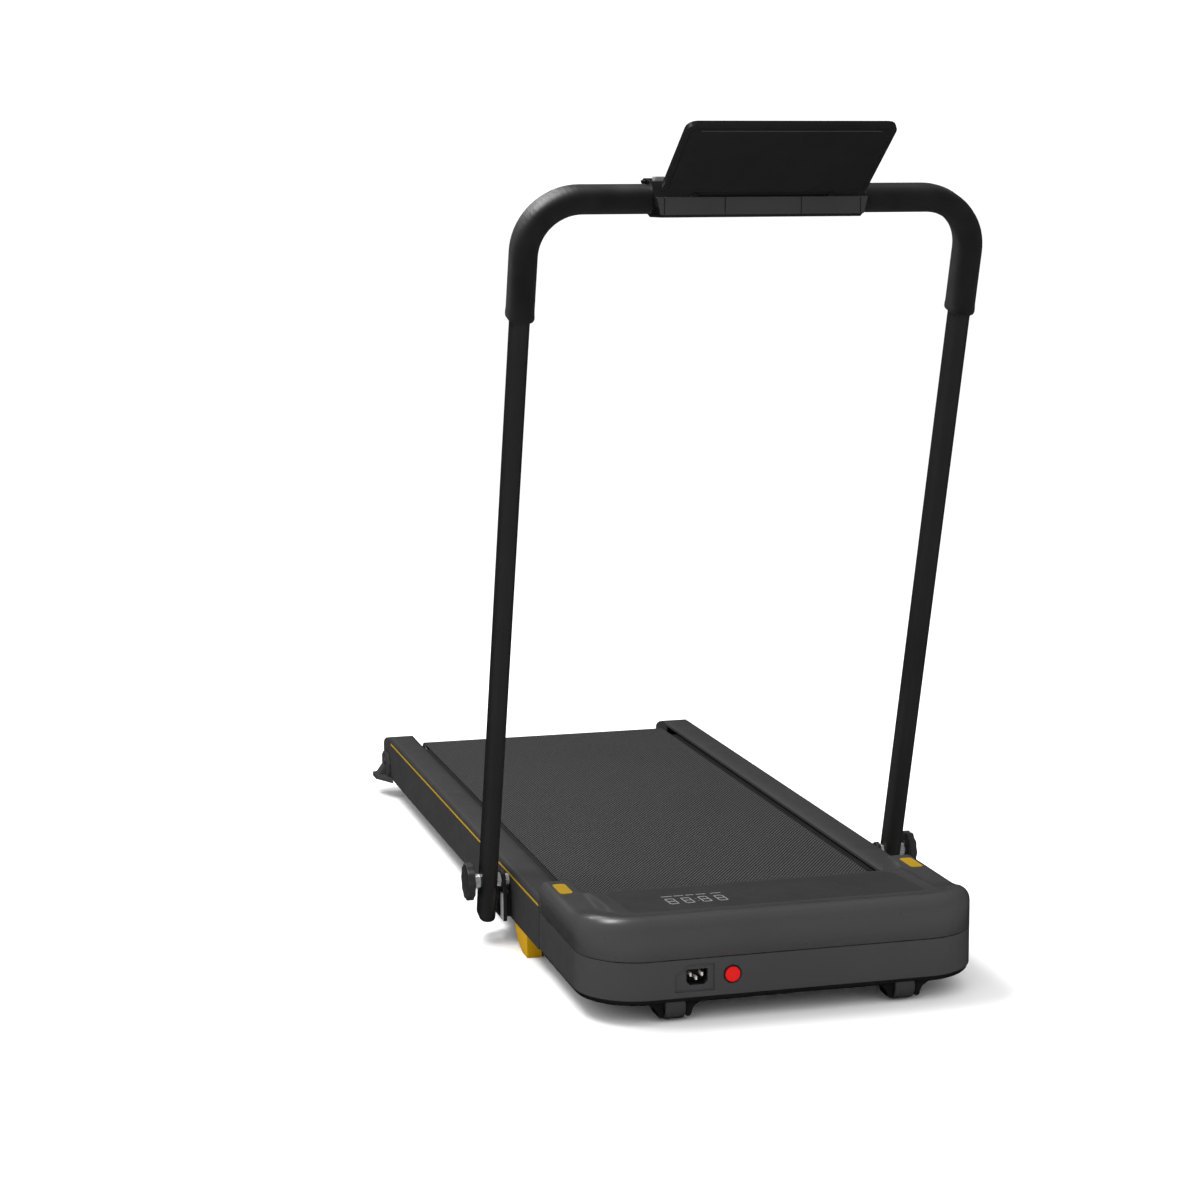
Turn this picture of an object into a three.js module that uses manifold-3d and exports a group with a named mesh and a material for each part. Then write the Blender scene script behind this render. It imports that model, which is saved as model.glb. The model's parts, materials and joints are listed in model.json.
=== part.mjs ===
// Folding walking treadmill: low deck, front hood, fold-down handrail with a console and a tablet plate.
// Units are millimetres. +X is to the walker's left, +Y runs from the hood to the back of the deck, +Z is up.
// Every y below is measured from the front of the hood; the group is shifted to centre it at the end.
import * as THREE from "three";
import { mergeVertices } from "three/addons/utils/BufferGeometryUtils.js";
import Module from "manifold-3d";

const wasm = await Module();
wasm.setup();

const GAP = 0.3; // between pieces that touch
const RUNNING = 0.4; // between a turning piece and what it turns in

// ---- driving sizes
const LENGTH = 1287;
const HALF_WIDTH = 250; // outer face of a side rail
const RAIL_WIDE = 40.6;
const RAIL_BOTTOM = 29;
const RAIL_TOP = 95;
const RAIL_LIP = 87.8; // underside of the rail's inner lip
const RAIL_WALL = 3;
const HOOD_DEPTH = 241;
const HOOD_SET_IN = 1; // hood side inside the rail's outer face
const HOOD_CORNER = 75;
const HOOD_REAR_CORNER = 20;
const HOOD_ROUND = 20; // radius round the hood's top edge
const HOOD_TOP = 127; // at the front of the top face
const HOOD_SLOPE = 0.061; // fall of the top face per unit of depth
const HOOD_WALL = 3;
const HOOD_ROOF = 4.5;
const SEAM = 76.8; // between cover and lower shell
const PAN_BOTTOM = 23;
const PAN_TOP = 29.8;
const SHOULDER_WIDE = 46; // from the rail's outer face to the hood's low middle
const BACK_SLOPE_LONG = 65; // depth of the sloping back of the hood
const BACK_SLOPE = 0.38;
const CAP_LONG = 62; // the rail's end cap
const TUBE_SET_IN = 8; // frame tube inside the rail's outer face
const TUBE_WIDE = 30;
const TUBE_BOTTOM = 33;
const TUBE_WALL = 2;
const BELT_CLEAR = 11.4; // between belt edge and rail
const BELT_THICK = 2;
const ROLLER_RADIUS = 21;
const AXLE_RADIUS = 6;
const PULLEY_RADIUS = 27;
const MOTOR_PULLEY_RADIUS = 11;
const DECK_THICK = 12;
const DECK_CLEAR = 2.7; // under the rail's lip
const WHEEL_RADIUS = 18;
const WHEEL_WIDTH = 25;
const WHEEL_IN = 30.5; // inside the start of the hood's corner
const WHEEL_Y = 20;
const WHEEL_CLEAR = 1; // above the floor
const LEAN = (15.63 * Math.PI) / 180; // posts lean towards the hood
const PIVOT_BEHIND = 159.1; // from the hood's back to the post's pivot
const PIVOT_Z = 79;
const POST_OUT = 28.4; // from the rail's outer face to the middle of a post
const POST_WIDE = 21; // across
const POST_DEEP = 38; // fore and aft
const POST_WALL = 1.6;
const GRIP_THICK = 5; // foam on the sides of the tube
const GRIP_EDGE = 4; // foam on its rounded edges
const BAR_UP = 907.4; // pivot to the middle of the crossbar
const POST_DOWN = 52; // pivot to the cut end of the tube
const BEND_RADIUS = 65;
const GRIP_FROM = 763;
const CONSOLE_HALF = 131;
const STUD_RADIUS = 5;
const TABLET_WIDE = 252;
const TABLET_LONG = 134;
const TABLET_THICK = 6.5;
const TABLET_LEAN = (55 * Math.PI) / 180; // forward from upright

// ---- sizes that follow from them
const RAIL_INNER = HALF_WIDTH - RAIL_WIDE;
const HOOD_HALF = HALF_WIDTH - HOOD_SET_IN;
const SHOULDER_INNER = HALF_WIDTH - SHOULDER_WIDE;
const BACK_SLOPE_START = HOOD_DEPTH - BACK_SLOPE_LONG;
const CAP_START = LENGTH - CAP_LONG;
const TUBE_OUTER = HALF_WIDTH - TUBE_SET_IN;
const TUBE_INNER = TUBE_OUTER - TUBE_WIDE;
const BELT_WIDTH = 2 * (RAIL_INNER - BELT_CLEAR);
const deckTop = RAIL_LIP - DECK_CLEAR;
const crossTop = deckTop - DECK_THICK - GAP;
const ROLLER_Z = deckTop + GAP - ROLLER_RADIUS;
const FRONT_ROLLER_Y = HOOD_DEPTH - 35;
const REAR_ROLLER_Y = LENGTH - 77;
const TUBE_START = FRONT_ROLLER_Y - 128;
const TUBE_END = LENGTH - 12;
const DECK_HALF = TUBE_OUTER - 6;
const DECK_FROM = HOOD_DEPTH + 7;
const DECK_TO = REAR_ROLLER_Y - ROLLER_RADIUS - 19;
const WHEEL_X = HOOD_HALF - HOOD_CORNER - WHEEL_IN;
const WHEEL_Z = WHEEL_RADIUS + WHEEL_CLEAR;
const PIVOT_Y = HOOD_DEPTH + PIVOT_BEHIND;
const POST_X = HALF_WIDTH + POST_OUT;
const GRIP_WIDE = POST_WIDE + 2 * GRIP_THICK;
const GRIP_DEEP = POST_DEEP + 2 * GRIP_EDGE;
const innerRadius = ROLLER_RADIUS + GAP;

// ---- finishes
const finish = (color, roughness, metalness = 0) =>
  new THREE.MeshStandardMaterial({ color, roughness, metalness });
const finishes = {
  shell: finish(0x3b3b3c, 0.5),
  pan: finish(0x222223, 0.6),
  gloss: finish(0x303031, 0.25),
  rail: finish(0x424244, 0.45),
  yellow: finish(0xd9a012, 0.45),
  rubber: finish(0x1a1a1a, 0.85),
  belt: finish(0x4c4c4d, 0.9),
  board: finish(0x3a2f26, 0.8),
  tube: finish(0x2b2c2d, 0.4, 0.3),
  foam: finish(0x161617, 0.8),
  steel: finish(0xb9bbbd, 0.3, 1),
  chrome: finish(0xdcdddf, 0.12, 1),
  frame: finish(0x1d1d1e, 0.5, 0.3),
  motor: finish(0x8d8f92, 0.45, 0.8),
  red: finish(0xd81818, 0.35),
  brass: finish(0xc9a955, 0.35, 1),
  green: finish(0x1d5a34, 0.6),
};

const group = new THREE.Group();

function add(name, finishName, geometry) {
  const mesh = new THREE.Mesh(geometry, finishes[finishName]);
  mesh.name = name;
  group.add(mesh);
}

// ---- solids
function bare(geometry) {
  const copy = geometry.index ? geometry.toNonIndexed() : geometry.clone();
  copy.deleteAttribute("normal");
  copy.deleteAttribute("uv");
  return mergeVertices(copy, 1e-4);
}

function toSolid(geometry) {
  const merged = bare(geometry);
  return new wasm.Manifold(
    new wasm.Mesh({
      numProp: 3,
      vertProperties: merged.attributes.position.array,
      triVerts: new Uint32Array(merged.index.array),
    }),
  );
}

function toGeometry(solid) {
  const mesh = solid.getMesh();
  const geometry = new THREE.BufferGeometry();
  geometry.setAttribute(
    "position",
    new THREE.BufferAttribute(new Float32Array(mesh.vertProperties), 3),
  );
  geometry.setIndex(new THREE.BufferAttribute(new Uint32Array(mesh.triVerts), 1));
  const flat = geometry.toNonIndexed();
  flat.computeVertexNormals();
  return flat;
}

const cut = (from, ...tools) =>
  toGeometry(tools.reduce((left, tool) => left.subtract(toSolid(tool)), toSolid(from)));

const join = (...pieces) =>
  toGeometry(
    pieces.map(toSolid).reduce((left, right) => left.add(right)),
  );

function box(x0, x1, y0, y1, z0, z1) {
  const geometry = new THREE.BoxGeometry(x1 - x0, y1 - y0, z1 - z0);
  return geometry.translate((x0 + x1) / 2, (y0 + y1) / 2, (z0 + z1) / 2);
}

function shapeOf(points, holes = []) {
  const shape = new THREE.Shape(points.map(([u, v]) => new THREE.Vector2(u, v)));
  for (const hole of holes)
    shape.holes.push(new THREE.Path(hole.map(([u, v]) => new THREE.Vector2(u, v))));
  return shape;
}

const extrude = (points, depth, holes) =>
  new THREE.ExtrudeGeometry(shapeOf(points, holes), {
    depth,
    bevelEnabled: false,
    curveSegments: 1,
  });

// profile points are (x, y), raised from z0 to z1
const slabZ = (points, z0, z1, holes) => extrude(points, z1 - z0, holes).translate(0, 0, z0);

// profile points are (y, z), carried from x0 to x1
function slabX(points, x0, x1, holes) {
  const turn = new THREE.Matrix4().set(0, 0, 1, x0, 1, 0, 0, 0, 0, 1, 0, 0, 0, 0, 0, 1);
  return extrude(points, x1 - x0, holes).applyMatrix4(turn);
}

// profile points are (x, z), carried from y0 to y1
function slabY(points, y0, y1, holes) {
  const turn = new THREE.Matrix4().set(1, 0, 0, 0, 0, 0, -1, y1, 0, 1, 0, 0, 0, 0, 0, 1);
  return extrude(points, y1 - y0, holes).applyMatrix4(turn);
}

const ring = (radius, count, u = 0, v = 0, start = 0) =>
  Array.from({ length: count }, (_, i) => {
    const angle = start + (2 * Math.PI * i) / count;
    return [u + radius * Math.cos(angle), v + radius * Math.sin(angle)];
  });

const rodX = (y, z, radius, x0, x1, count = 24) => slabX(ring(radius, count, y, z), x0, x1);

const mirrorX = (geometry) => {
  const copy = geometry.index ? geometry.toNonIndexed() : geometry.clone();
  const p = copy.attributes.position;
  for (let i = 0; i < p.count; i += 3) {
    const [ax, ay, az] = [p.getX(i), p.getY(i), p.getZ(i)];
    const [bx, by, bz] = [p.getX(i + 1), p.getY(i + 1), p.getZ(i + 1)];
    p.setXYZ(i, -bx, by, bz);
    p.setXYZ(i + 1, -ax, ay, az);
    p.setX(i + 2, -p.getX(i + 2));
  }
  copy.computeVertexNormals();
  return copy;
};

// builds the +X piece and its mirror at -X
function pair(name, finishName, geometry) {
  add(name + "_left", finishName, geometry);
  add(name + "_right", finishName, mirrorX(geometry));
}

const arc = (u, v, radius, from, to, steps) =>
  Array.from({ length: steps + 1 }, (_, i) => {
    const angle = from + ((to - from) * i) / steps;
    return [u + radius * Math.cos(angle), v + radius * Math.sin(angle)];
  });

const QUARTER = Math.PI / 2;

// a rectangle with rounded corners, centred on (u, v)
function rounded(u, v, halfU, halfV, radius, steps = 4) {
  const corner = (su, sv, from) =>
    arc(u + su * (halfU - radius), v + sv * (halfV - radius), radius, from, from + QUARTER, steps);
  return [
    ...corner(1, 1, 0),
    ...corner(-1, 1, QUARTER),
    ...corner(-1, -1, 2 * QUARTER),
    ...corner(1, -1, 3 * QUARTER),
  ];
}

// ---- hood
// plan outline of the hood, moved in by inset
function hoodOutline(inset) {
  const half = HOOD_HALF - inset;
  const front = inset;
  const rear = HOOD_DEPTH - inset;
  const big = Math.max(1, HOOD_CORNER - inset);
  const small = Math.max(1, HOOD_REAR_CORNER - inset);
  return [
    ...arc(half - big, front + big, big, -QUARTER, 0, 8),
    ...arc(half - small, rear - small, small, 0, QUARTER, 4),
    ...arc(-half + small, rear - small, small, QUARTER, 2 * QUARTER, 4),
    ...arc(-half + big, front + big, big, 2 * QUARTER, 3 * QUARTER, 8),
  ];
}

// a closed solid through outlines that share a point count; fall tells how far each ring follows the slope
function loft(rings) {
  const count = rings[0].points.length;
  const positions = [];
  const indices = [];
  rings.forEach(({ points, z, fall }) =>
    points.forEach(([x, y]) => positions.push(x, y, z - fall * HOOD_SLOPE * (y - HOOD_ROUND))),
  );
  for (let r = 0; r + 1 < rings.length; r++)
    for (let i = 0; i < count; i++) {
      const a = r * count + i;
      const b = r * count + ((i + 1) % count);
      indices.push(a, b, b + count, a, b + count, a + count);
    }
  const capOf = (points) =>
    THREE.ShapeUtils.triangulateShape(points.map(([x, y]) => new THREE.Vector2(x, y)), []);
  const top = (rings.length - 1) * count;
  capOf(rings[rings.length - 1].points).forEach(([a, b, c]) =>
    indices.push(top + a, top + b, top + c),
  );
  capOf(rings[0].points).forEach(([a, b, c]) => indices.push(a, c, b));
  const geometry = new THREE.BufferGeometry();
  geometry.setAttribute("position", new THREE.Float32BufferAttribute(positions, 3));
  geometry.setIndex(indices);
  return geometry;
}

// the hood's rounded block: bottom z, wall inset, roof height and edge radius
function hoodBlock(bottom, inset, top, radius) {
  const rings = [{ points: hoodOutline(inset), z: bottom, fall: 0 }];
  const steps = 5;
  for (let i = 0; i <= steps; i++) {
    const angle = (QUARTER * i) / steps;
    rings.push({
      points: hoodOutline(inset + radius * (1 - Math.cos(angle))),
      z: top - radius + radius * Math.sin(angle),
      fall: 1,
    });
  }
  return loft(rings);
}

// wedge taken off the middle of the hood's back, down to the sloping back face
function backWedge(half, drop) {
  const z = (y) =>
    HOOD_TOP - HOOD_SLOPE * (BACK_SLOPE_START - HOOD_ROUND) - BACK_SLOPE * (y - BACK_SLOPE_START);
  const start = BACK_SLOPE_START - 20;
  const end = HOOD_DEPTH + 10;
  const profile = [
    [start, z(start) - drop],
    [end, z(end) - drop],
    [end, 160],
    [start, 160],
  ];
  return slabX(profile, -half, half);
}

const topAt = (y) => HOOD_TOP - HOOD_SLOPE * (y - HOOD_ROUND);

// a thin plate lying in the hood's sloping top face, between two depths below it
function topPlate(outline, above, below) {
  const middle = outline.reduce((sum, [, y]) => sum + y, 0) / outline.length;
  const plate = slabZ(
    outline.map(([x, y]) => [x, y - middle]),
    -below,
    above,
  );
  return plate.rotateX(-Math.atan(HOOD_SLOPE)).translate(0, middle, topAt(middle));
}

const panelHalf = SHOULDER_INNER - 18;
const panelOutline = (grow) => rounded(0, 105, panelHalf + grow, 60 + grow, 14 + grow);
const insertX = HALF_WIDTH - 21;
const insertY = HOOD_DEPTH - 39;
const insertOutline = (grow) => rounded(insertX, insertY, 8.2 + grow, 22.5 + grow, 5 + grow);
const mirrored = (points) => points.map(([x, y]) => [-x, y]).reverse();

function hoodCover() {
  const outer = toSolid(hoodBlock(SEAM + GAP / 2, 0, HOOD_TOP, HOOD_ROUND)).subtract(
    toSolid(backWedge(SHOULDER_INNER, 0)),
  );
  const inner = toSolid(
    hoodBlock(SEAM - 5, HOOD_WALL, HOOD_TOP - HOOD_ROOF, HOOD_ROUND - HOOD_WALL),
  ).subtract(toSolid(backWedge(SHOULDER_INNER + HOOD_WALL, HOOD_WALL)));
  const beltDoor = toSolid(
    box(-SHOULDER_INNER, SHOULDER_INNER, HOOD_DEPTH - 40, HOOD_DEPTH + 5, SEAM - 5, 89),
  );
  const pockets = [panelOutline(GAP), insertOutline(GAP), mirrored(insertOutline(GAP))].map(
    (outline) => toSolid(topPlate(outline, 5, 2 + GAP)),
  );
  return toGeometry(
    [inner, beltDoor, ...pockets].reduce((left, tool) => left.subtract(tool), outer),
  );
}

const inletPlace = { x: -118, z: 54, halfX: 20, halfZ: 14 };
const buttonPlace = { x: -75, z: 54.5, radius: 11.2 };

function lowerShell() {
  const wallAt = (inset) => {
    const half = HOOD_HALF - inset;
    const big = HOOD_CORNER - inset;
    return [
      [half, HOOD_DEPTH],
      ...arc(half - big, inset + big, big, 0, -QUARTER, 8),
      ...arc(-half + big, inset + big, big, -QUARTER, -2 * QUARTER, 8),
      [-half, HOOD_DEPTH],
    ];
  };
  const wall = slabZ(
    [...wallAt(0), ...wallAt(HOOD_WALL).reverse()].reverse(),
    PAN_TOP + GAP,
    SEAM - GAP / 2,
  );
  const { x, z, halfX, halfZ } = inletPlace;
  const socket = slabY(rounded(x, z, halfX + GAP, halfZ + GAP, 3), -2, HOOD_WALL + 2);
  const round = slabY(
    ring(buttonPlace.radius + GAP, 24, buttonPlace.x, buttonPlace.z),
    -2,
    HOOD_WALL + 2,
  );
  return cut(wall, socket, round);
}

function bottomPan() {
  const plate = slabZ(hoodOutline(1.5), PAN_BOTTOM + 3, PAN_TOP);
  const rim = slabZ(hoodOutline(5), PAN_BOTTOM, PAN_BOTTOM + 3.5);
  const ear = (side, inner) => {
    const near = WHEEL_WIDTH / 2 + 0.5;
    const points = [
      [near, PAN_BOTTOM + 1],
      [near, 7],
      [near + 5, 5],
      [near + 9, 8],
      [near + 19, PAN_BOTTOM + 1],
    ].map(([x, z]) => [inner * (WHEEL_X + side * x), z]);
    return slabY(side * inner > 0 ? points.reverse() : points, WHEEL_Y - 12, WHEEL_Y + 14);
  };
  let pan = toSolid(plate).add(toSolid(rim));
  for (const inner of [1, -1])
    for (const side of [1, -1]) pan = pan.add(toSolid(ear(side, inner)));
  for (const inner of [1, -1]) {
    const x = inner * WHEEL_X;
    const half = WHEEL_WIDTH / 2 + 0.5;
    const wellFront = WHEEL_Y - WHEEL_RADIUS + 0.6;
    pan = pan.subtract(
      toSolid(box(x - half, x + half, wellFront, WHEEL_Y + 20, PAN_BOTTOM - 1, 40)),
    );
    pan = pan.subtract(
      toSolid(rodX(WHEEL_Y, WHEEL_Z, 3 + GAP, x - half - 8.5, x + half + 8.5, 16)),
    );
  }
  return toGeometry(pan);
}

function wheel() {
  const outline = [
    [3 + RUNNING, -WHEEL_WIDTH / 2],
    [WHEEL_RADIUS - 2, -WHEEL_WIDTH / 2],
    [WHEEL_RADIUS, -WHEEL_WIDTH / 2 + 2],
    [WHEEL_RADIUS, WHEEL_WIDTH / 2 - 2],
    [WHEEL_RADIUS - 2, WHEEL_WIDTH / 2],
    [3 + RUNNING, WHEEL_WIDTH / 2],
  ];
  return turned(outline, 28).translate(WHEEL_X, WHEEL_Y, WHEEL_Z);
}

// outline of (radius, x) turned about the X axis, with a bore
function turned(outline, count) {
  const closed = [...outline, outline[0]].map(([r, x]) => new THREE.Vector2(r, x));
  return new THREE.LatheGeometry(closed, count).rotateZ(-QUARTER);
}

add("hood_cover", "shell", hoodCover());
add("display_panel", "gloss", topPlate(panelOutline(0), 0, 2));
pair("shoulder_insert", "yellow", topPlate(insertOutline(0), 0.6, 2));
add("lower_shell", "shell", lowerShell());
add("bottom_pan", "pan", bottomPan());
pair("transport_wheel", "rubber", wheel());
pair(
  "wheel_pin",
  "steel",
  rodX(WHEEL_Y, WHEEL_Z, 3, WHEEL_X - WHEEL_WIDTH / 2 - 7, WHEEL_X + WHEEL_WIDTH / 2 + 7, 16),
);

// ---- power inlet and red button on the hood's front
function powerInlet() {
  const { x, z, halfX, halfZ } = inletPlace;
  const body = slabY(rounded(x, z, halfX, halfZ, 3), 0.6, 24);
  const hollow = slabY(rounded(x, z, 12.6, 8.6, 2.5), -1, 19);
  const blades = bladePlaces.map(([bx, bz]) =>
    box(bx - 1.2 - GAP, bx + 1.2 + GAP, 18, 26, bz - 2.2 - GAP, bz + 2.2 + GAP),
  );
  return cut(body, hollow, ...blades);
}

const bladePlaces = [
  [inletPlace.x - 7, inletPlace.z + 2],
  [inletPlace.x + 7, inletPlace.z + 2],
  [inletPlace.x, inletPlace.z - 2.6],
];
const bladeNames = ["inlet_blade_line", "inlet_blade_neutral", "inlet_blade_earth"];

add("power_inlet", "rubber", powerInlet());
bladePlaces.forEach(([x, z], i) =>
  add(bladeNames[i], "brass", box(x - 1.2, x + 1.2, 5, 30, z - 2.2, z + 2.2)),
);
const buttonTravel = 2;
const buttonFront = -2.8;
const buttonCap = 8.9;
add(
  "button_bezel",
  "rubber",
  cut(
    slabY(ring(buttonPlace.radius, 28, buttonPlace.x, buttonPlace.z), -0.8, 14),
    slabY(ring(buttonCap + RUNNING, 28, buttonPlace.x, buttonPlace.z), -3, 16),
  ),
);
add(
  "red_button",
  "red",
  slabY(ring(buttonCap, 28, buttonPlace.x, buttonPlace.z), buttonFront, 13 - buttonTravel),
);

// ---- side rails
const stripeZ = 85.5;
const stripeHalf = 1.3;
const stripeDeep = 1.5;

// inner part of the rail's top, falling to the belt
const railCrown = [
  [RAIL_INNER + 12.6, RAIL_TOP],
  [RAIL_INNER + 2.6, RAIL_TOP - 2],
  [RAIL_INNER, RAIL_TOP - 3.6],
];

function railProfile() {
  return [
    [HALF_WIDTH, RAIL_BOTTOM],
    [HALF_WIDTH, stripeZ - stripeHalf - GAP],
    [HALF_WIDTH - stripeDeep, stripeZ - stripeHalf - GAP],
    [HALF_WIDTH - stripeDeep, stripeZ + stripeHalf + GAP],
    [HALF_WIDTH, stripeZ + stripeHalf + GAP],
    ...arc(HALF_WIDTH - 6, RAIL_TOP - 6, 6, 0, QUARTER, 4),
    ...railCrown,
    [RAIL_INNER, RAIL_LIP],
    [RAIL_INNER + 2.5, RAIL_LIP],
    [RAIL_INNER + 2.5, RAIL_TOP - 4.8],
    [RAIL_INNER + 12.6, RAIL_TOP - RAIL_WALL],
    [HALF_WIDTH - 7, RAIL_TOP - RAIL_WALL],
    [HALF_WIDTH - RAIL_WALL, RAIL_TOP - RAIL_WALL - 4],
    [HALF_WIDTH - RAIL_WALL, RAIL_BOTTOM],
  ];
}

const stripeProfile = [
  [HALF_WIDTH - stripeDeep + GAP, stripeZ - stripeHalf],
  [HALF_WIDTH + 0.4, stripeZ - stripeHalf],
  [HALF_WIDTH + 0.4, stripeZ + stripeHalf],
  [HALF_WIDTH - stripeDeep + GAP, stripeZ + stripeHalf],
];

// cap over the end of a rail; its outline moved in by a wall gives the hollow, open below and in front
function endCap() {
  const side = (wall) => {
    const front = CAP_START + GAP / 2 - (wall ? 5 : 0);
    const low = RAIL_BOTTOM - (wall ? 5 : 0);
    return [
      [front, low],
      [LENGTH - 8 - wall, low],
      [LENGTH - wall, RAIL_BOTTOM + 9],
      [LENGTH - wall, RAIL_TOP - 19 - wall],
      [LENGTH - 5 - wall, RAIL_TOP - 13.5 - wall],
      [LENGTH - 21 - wall, RAIL_TOP - 7 - wall],
      [LENGTH - 42, RAIL_TOP - 2 - wall],
      [front, RAIL_TOP - wall],
    ];
  };
  const above = RAIL_TOP + 25;
  const behind = LENGTH + 10;
  const inner = slabX(side(RAIL_WALL), RAIL_INNER + 2.2, HALF_WIDTH - RAIL_WALL);
  const [crownStart, crownMiddle, [, lipTop]] = railCrown;
  const crown = slabY(
    [
      [RAIL_INNER - 1, lipTop],
      crownMiddle,
      crownStart,
      [crownStart[0], above],
      [RAIL_INNER - 1, above],
    ],
    CAP_START - 10,
    behind,
  );
  const outerEdge = slabY(
    [
      [HALF_WIDTH + 1, RAIL_TOP - 6],
      [HALF_WIDTH + 1, above],
      [HALF_WIDTH - 6, above],
      ...arc(HALF_WIDTH - 6, RAIL_TOP - 6, 6, QUARTER, 0, 4),
    ],
    CAP_START - 10,
    behind,
  );
  const boltHole = slabY(
    ring(adjuster.radius + 2.2, 16, adjuster.x, ROLLER_Z),
    LENGTH - 17,
    behind,
  );
  const notch = box(
    RAIL_INNER - 1,
    TUBE_INNER + 1.4,
    rearTube.from - GAP,
    rearTube.to + GAP,
    TUBE_BOTTOM - GAP,
    rearTube.top + GAP,
  );
  return cut(slabX(side(0), RAIL_INNER, HALF_WIDTH), inner, crown, outerEdge, boltHole, notch);
}

const adjuster = { x: (TUBE_INNER + TUBE_OUTER) / 2, radius: 4 };
const rearTube = { from: LENGTH - 42, to: LENGTH - 14, top: 58 };

pair("side_rail", "rail", slabY(railProfile(), HOOD_DEPTH + GAP, CAP_START - GAP / 2));
pair("rail_stripe", "yellow", slabY(stripeProfile, HOOD_DEPTH + 2, CAP_START - 2));
pair("rail_end_cap", "pan", endCap());
pair(
  "adjuster_bolt",
  "steel",
  join(
    slabY(
      ring(adjuster.radius, 16, adjuster.x, ROLLER_Z),
      REAR_ROLLER_Y + AXLE_RADIUS + GAP,
      LENGTH - 9,
    ),
    slabY(ring(adjuster.radius + 2, 6, adjuster.x, ROLLER_Z), TUBE_END + 1.5, LENGTH - 5),
  ),
);

// fin that widens the base when the treadmill is stored on its back end
function storageFoot() {
  const low = RAIL_BOTTOM + 2;
  const out = HALF_WIDTH + 4.5;
  const web = slabX(
    [
      [LENGTH - 59, low],
      [LENGTH - 6, low],
      [LENGTH - 6, 58],
      [LENGTH - 19, 66],
      [LENGTH - 47, 66],
      [LENGTH - 59, 52],
    ],
    HALF_WIDTH + GAP,
    out,
  );
  const flange = slabZ(
    [
      [HALF_WIDTH + GAP, LENGTH - 80],
      [HALF_WIDTH + 21, LENGTH - 40],
      [HALF_WIDTH + 21, LENGTH - 12],
      [HALF_WIDTH + GAP, LENGTH - 2],
    ],
    low - 6,
    low + 0.5,
  );
  const rib = slabY(
    [
      [out - 0.5, low],
      [HALF_WIDTH + 16, low],
      [out - 0.5, low + 17],
    ],
    LENGTH - 37,
    LENGTH - 14,
  );
  const head = rodX(LENGTH - 33, 52, 4.5, out - 0.5, out + 2, 12);
  return join(web, flange, rib, head);
}
pair("storage_foot", "rail", storageFoot());

// wedge-shaped rubber foot under each rail, just behind the hood
function frontFoot() {
  const front = PIVOT_Y - 97.1;
  const side = [
    [front, 0],
    [front + 22, 0],
    [front + 37, 3.5],
    [front + 49, 10],
    [front + 59, 19],
    [front + 66, RAIL_BOTTOM - GAP],
    [front, RAIL_BOTTOM - GAP],
  ];
  const inner = HALF_WIDTH - 19;
  const tongue = box(
    inner + 0.2,
    HALF_WIDTH - RAIL_WALL - 0.5,
    front + 3,
    front + 61,
    20,
    TUBE_BOTTOM - GAP,
  );
  return join(slabX(side, inner, HALF_WIDTH), tongue);
}
pair("front_foot", "yellow", frontFoot());

// ---- frame under the covers
function sideTube() {
  const outline = [
    [TUBE_INNER, TUBE_BOTTOM],
    [TUBE_OUTER, TUBE_BOTTOM],
    [TUBE_OUTER, crossTop],
    [TUBE_INNER, crossTop],
  ];
  const hollow = [
    [TUBE_INNER + TUBE_WALL, TUBE_BOTTOM + TUBE_WALL],
    [TUBE_INNER + TUBE_WALL, crossTop - TUBE_WALL],
    [TUBE_OUTER - TUBE_WALL, crossTop - TUBE_WALL],
    [TUBE_OUTER - TUBE_WALL, TUBE_BOTTOM + TUBE_WALL],
  ];
  const holes = [FRONT_ROLLER_Y, REAR_ROLLER_Y].map((y) =>
    rodX(y, ROLLER_Z, AXLE_RADIUS + GAP, TUBE_INNER - 5, TUBE_INNER + 5, 16),
  );
  return cut(slabY(outline, TUBE_START, TUBE_END, [hollow]), ...holes);
}
pair("frame_tube", "frame", sideTube());

const crossTube = (y0, y1, z0, z1) =>
  slabX(
    [
      [y0, z0],
      [y1, z0],
      [y1, z1],
      [y0, z1],
    ],
    -TUBE_INNER + GAP,
    TUBE_INNER - GAP,
    [
      [
        [y0 + TUBE_WALL, z0 + TUBE_WALL],
        [y0 + TUBE_WALL, z1 - TUBE_WALL],
        [y1 - TUBE_WALL, z1 - TUBE_WALL],
        [y1 - TUBE_WALL, z0 + TUBE_WALL],
      ],
    ],
  );
const middleTubeY = PIVOT_Y + 240;
add("cross_tube_middle", "frame", crossTube(middleTubeY, middleTubeY + 40, crossTop - 25, crossTop));
const rearFootTop = TUBE_BOTTOM - GAP;
add("cross_tube_rear", "frame", crossTube(rearTube.from, rearTube.to, TUBE_BOTTOM, rearTube.top));
pair(
  "rear_foot",
  "rubber",
  turned(
    [
      [0, -rearFootTop / 2],
      [14, -rearFootTop / 2],
      [16, -rearFootTop / 2 + 3],
      [16, rearFootTop / 2],
      [0, rearFootTop / 2],
    ],
    20,
  )
    .rotateZ(QUARTER)
    .rotateX(QUARTER)
    .translate(HALF_WIDTH - 70, (rearTube.from + rearTube.to) / 2, rearFootTop / 2),
);

// ---- walking deck
add(
  "deck_board",
  "board",
  slabZ(
    [
      [-DECK_HALF, DECK_FROM],
      [DECK_HALF, DECK_FROM],
      [DECK_HALF, DECK_TO],
      [-DECK_HALF, DECK_TO],
    ],
    deckTop - DECK_THICK,
    deckTop,
  ),
);

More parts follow.
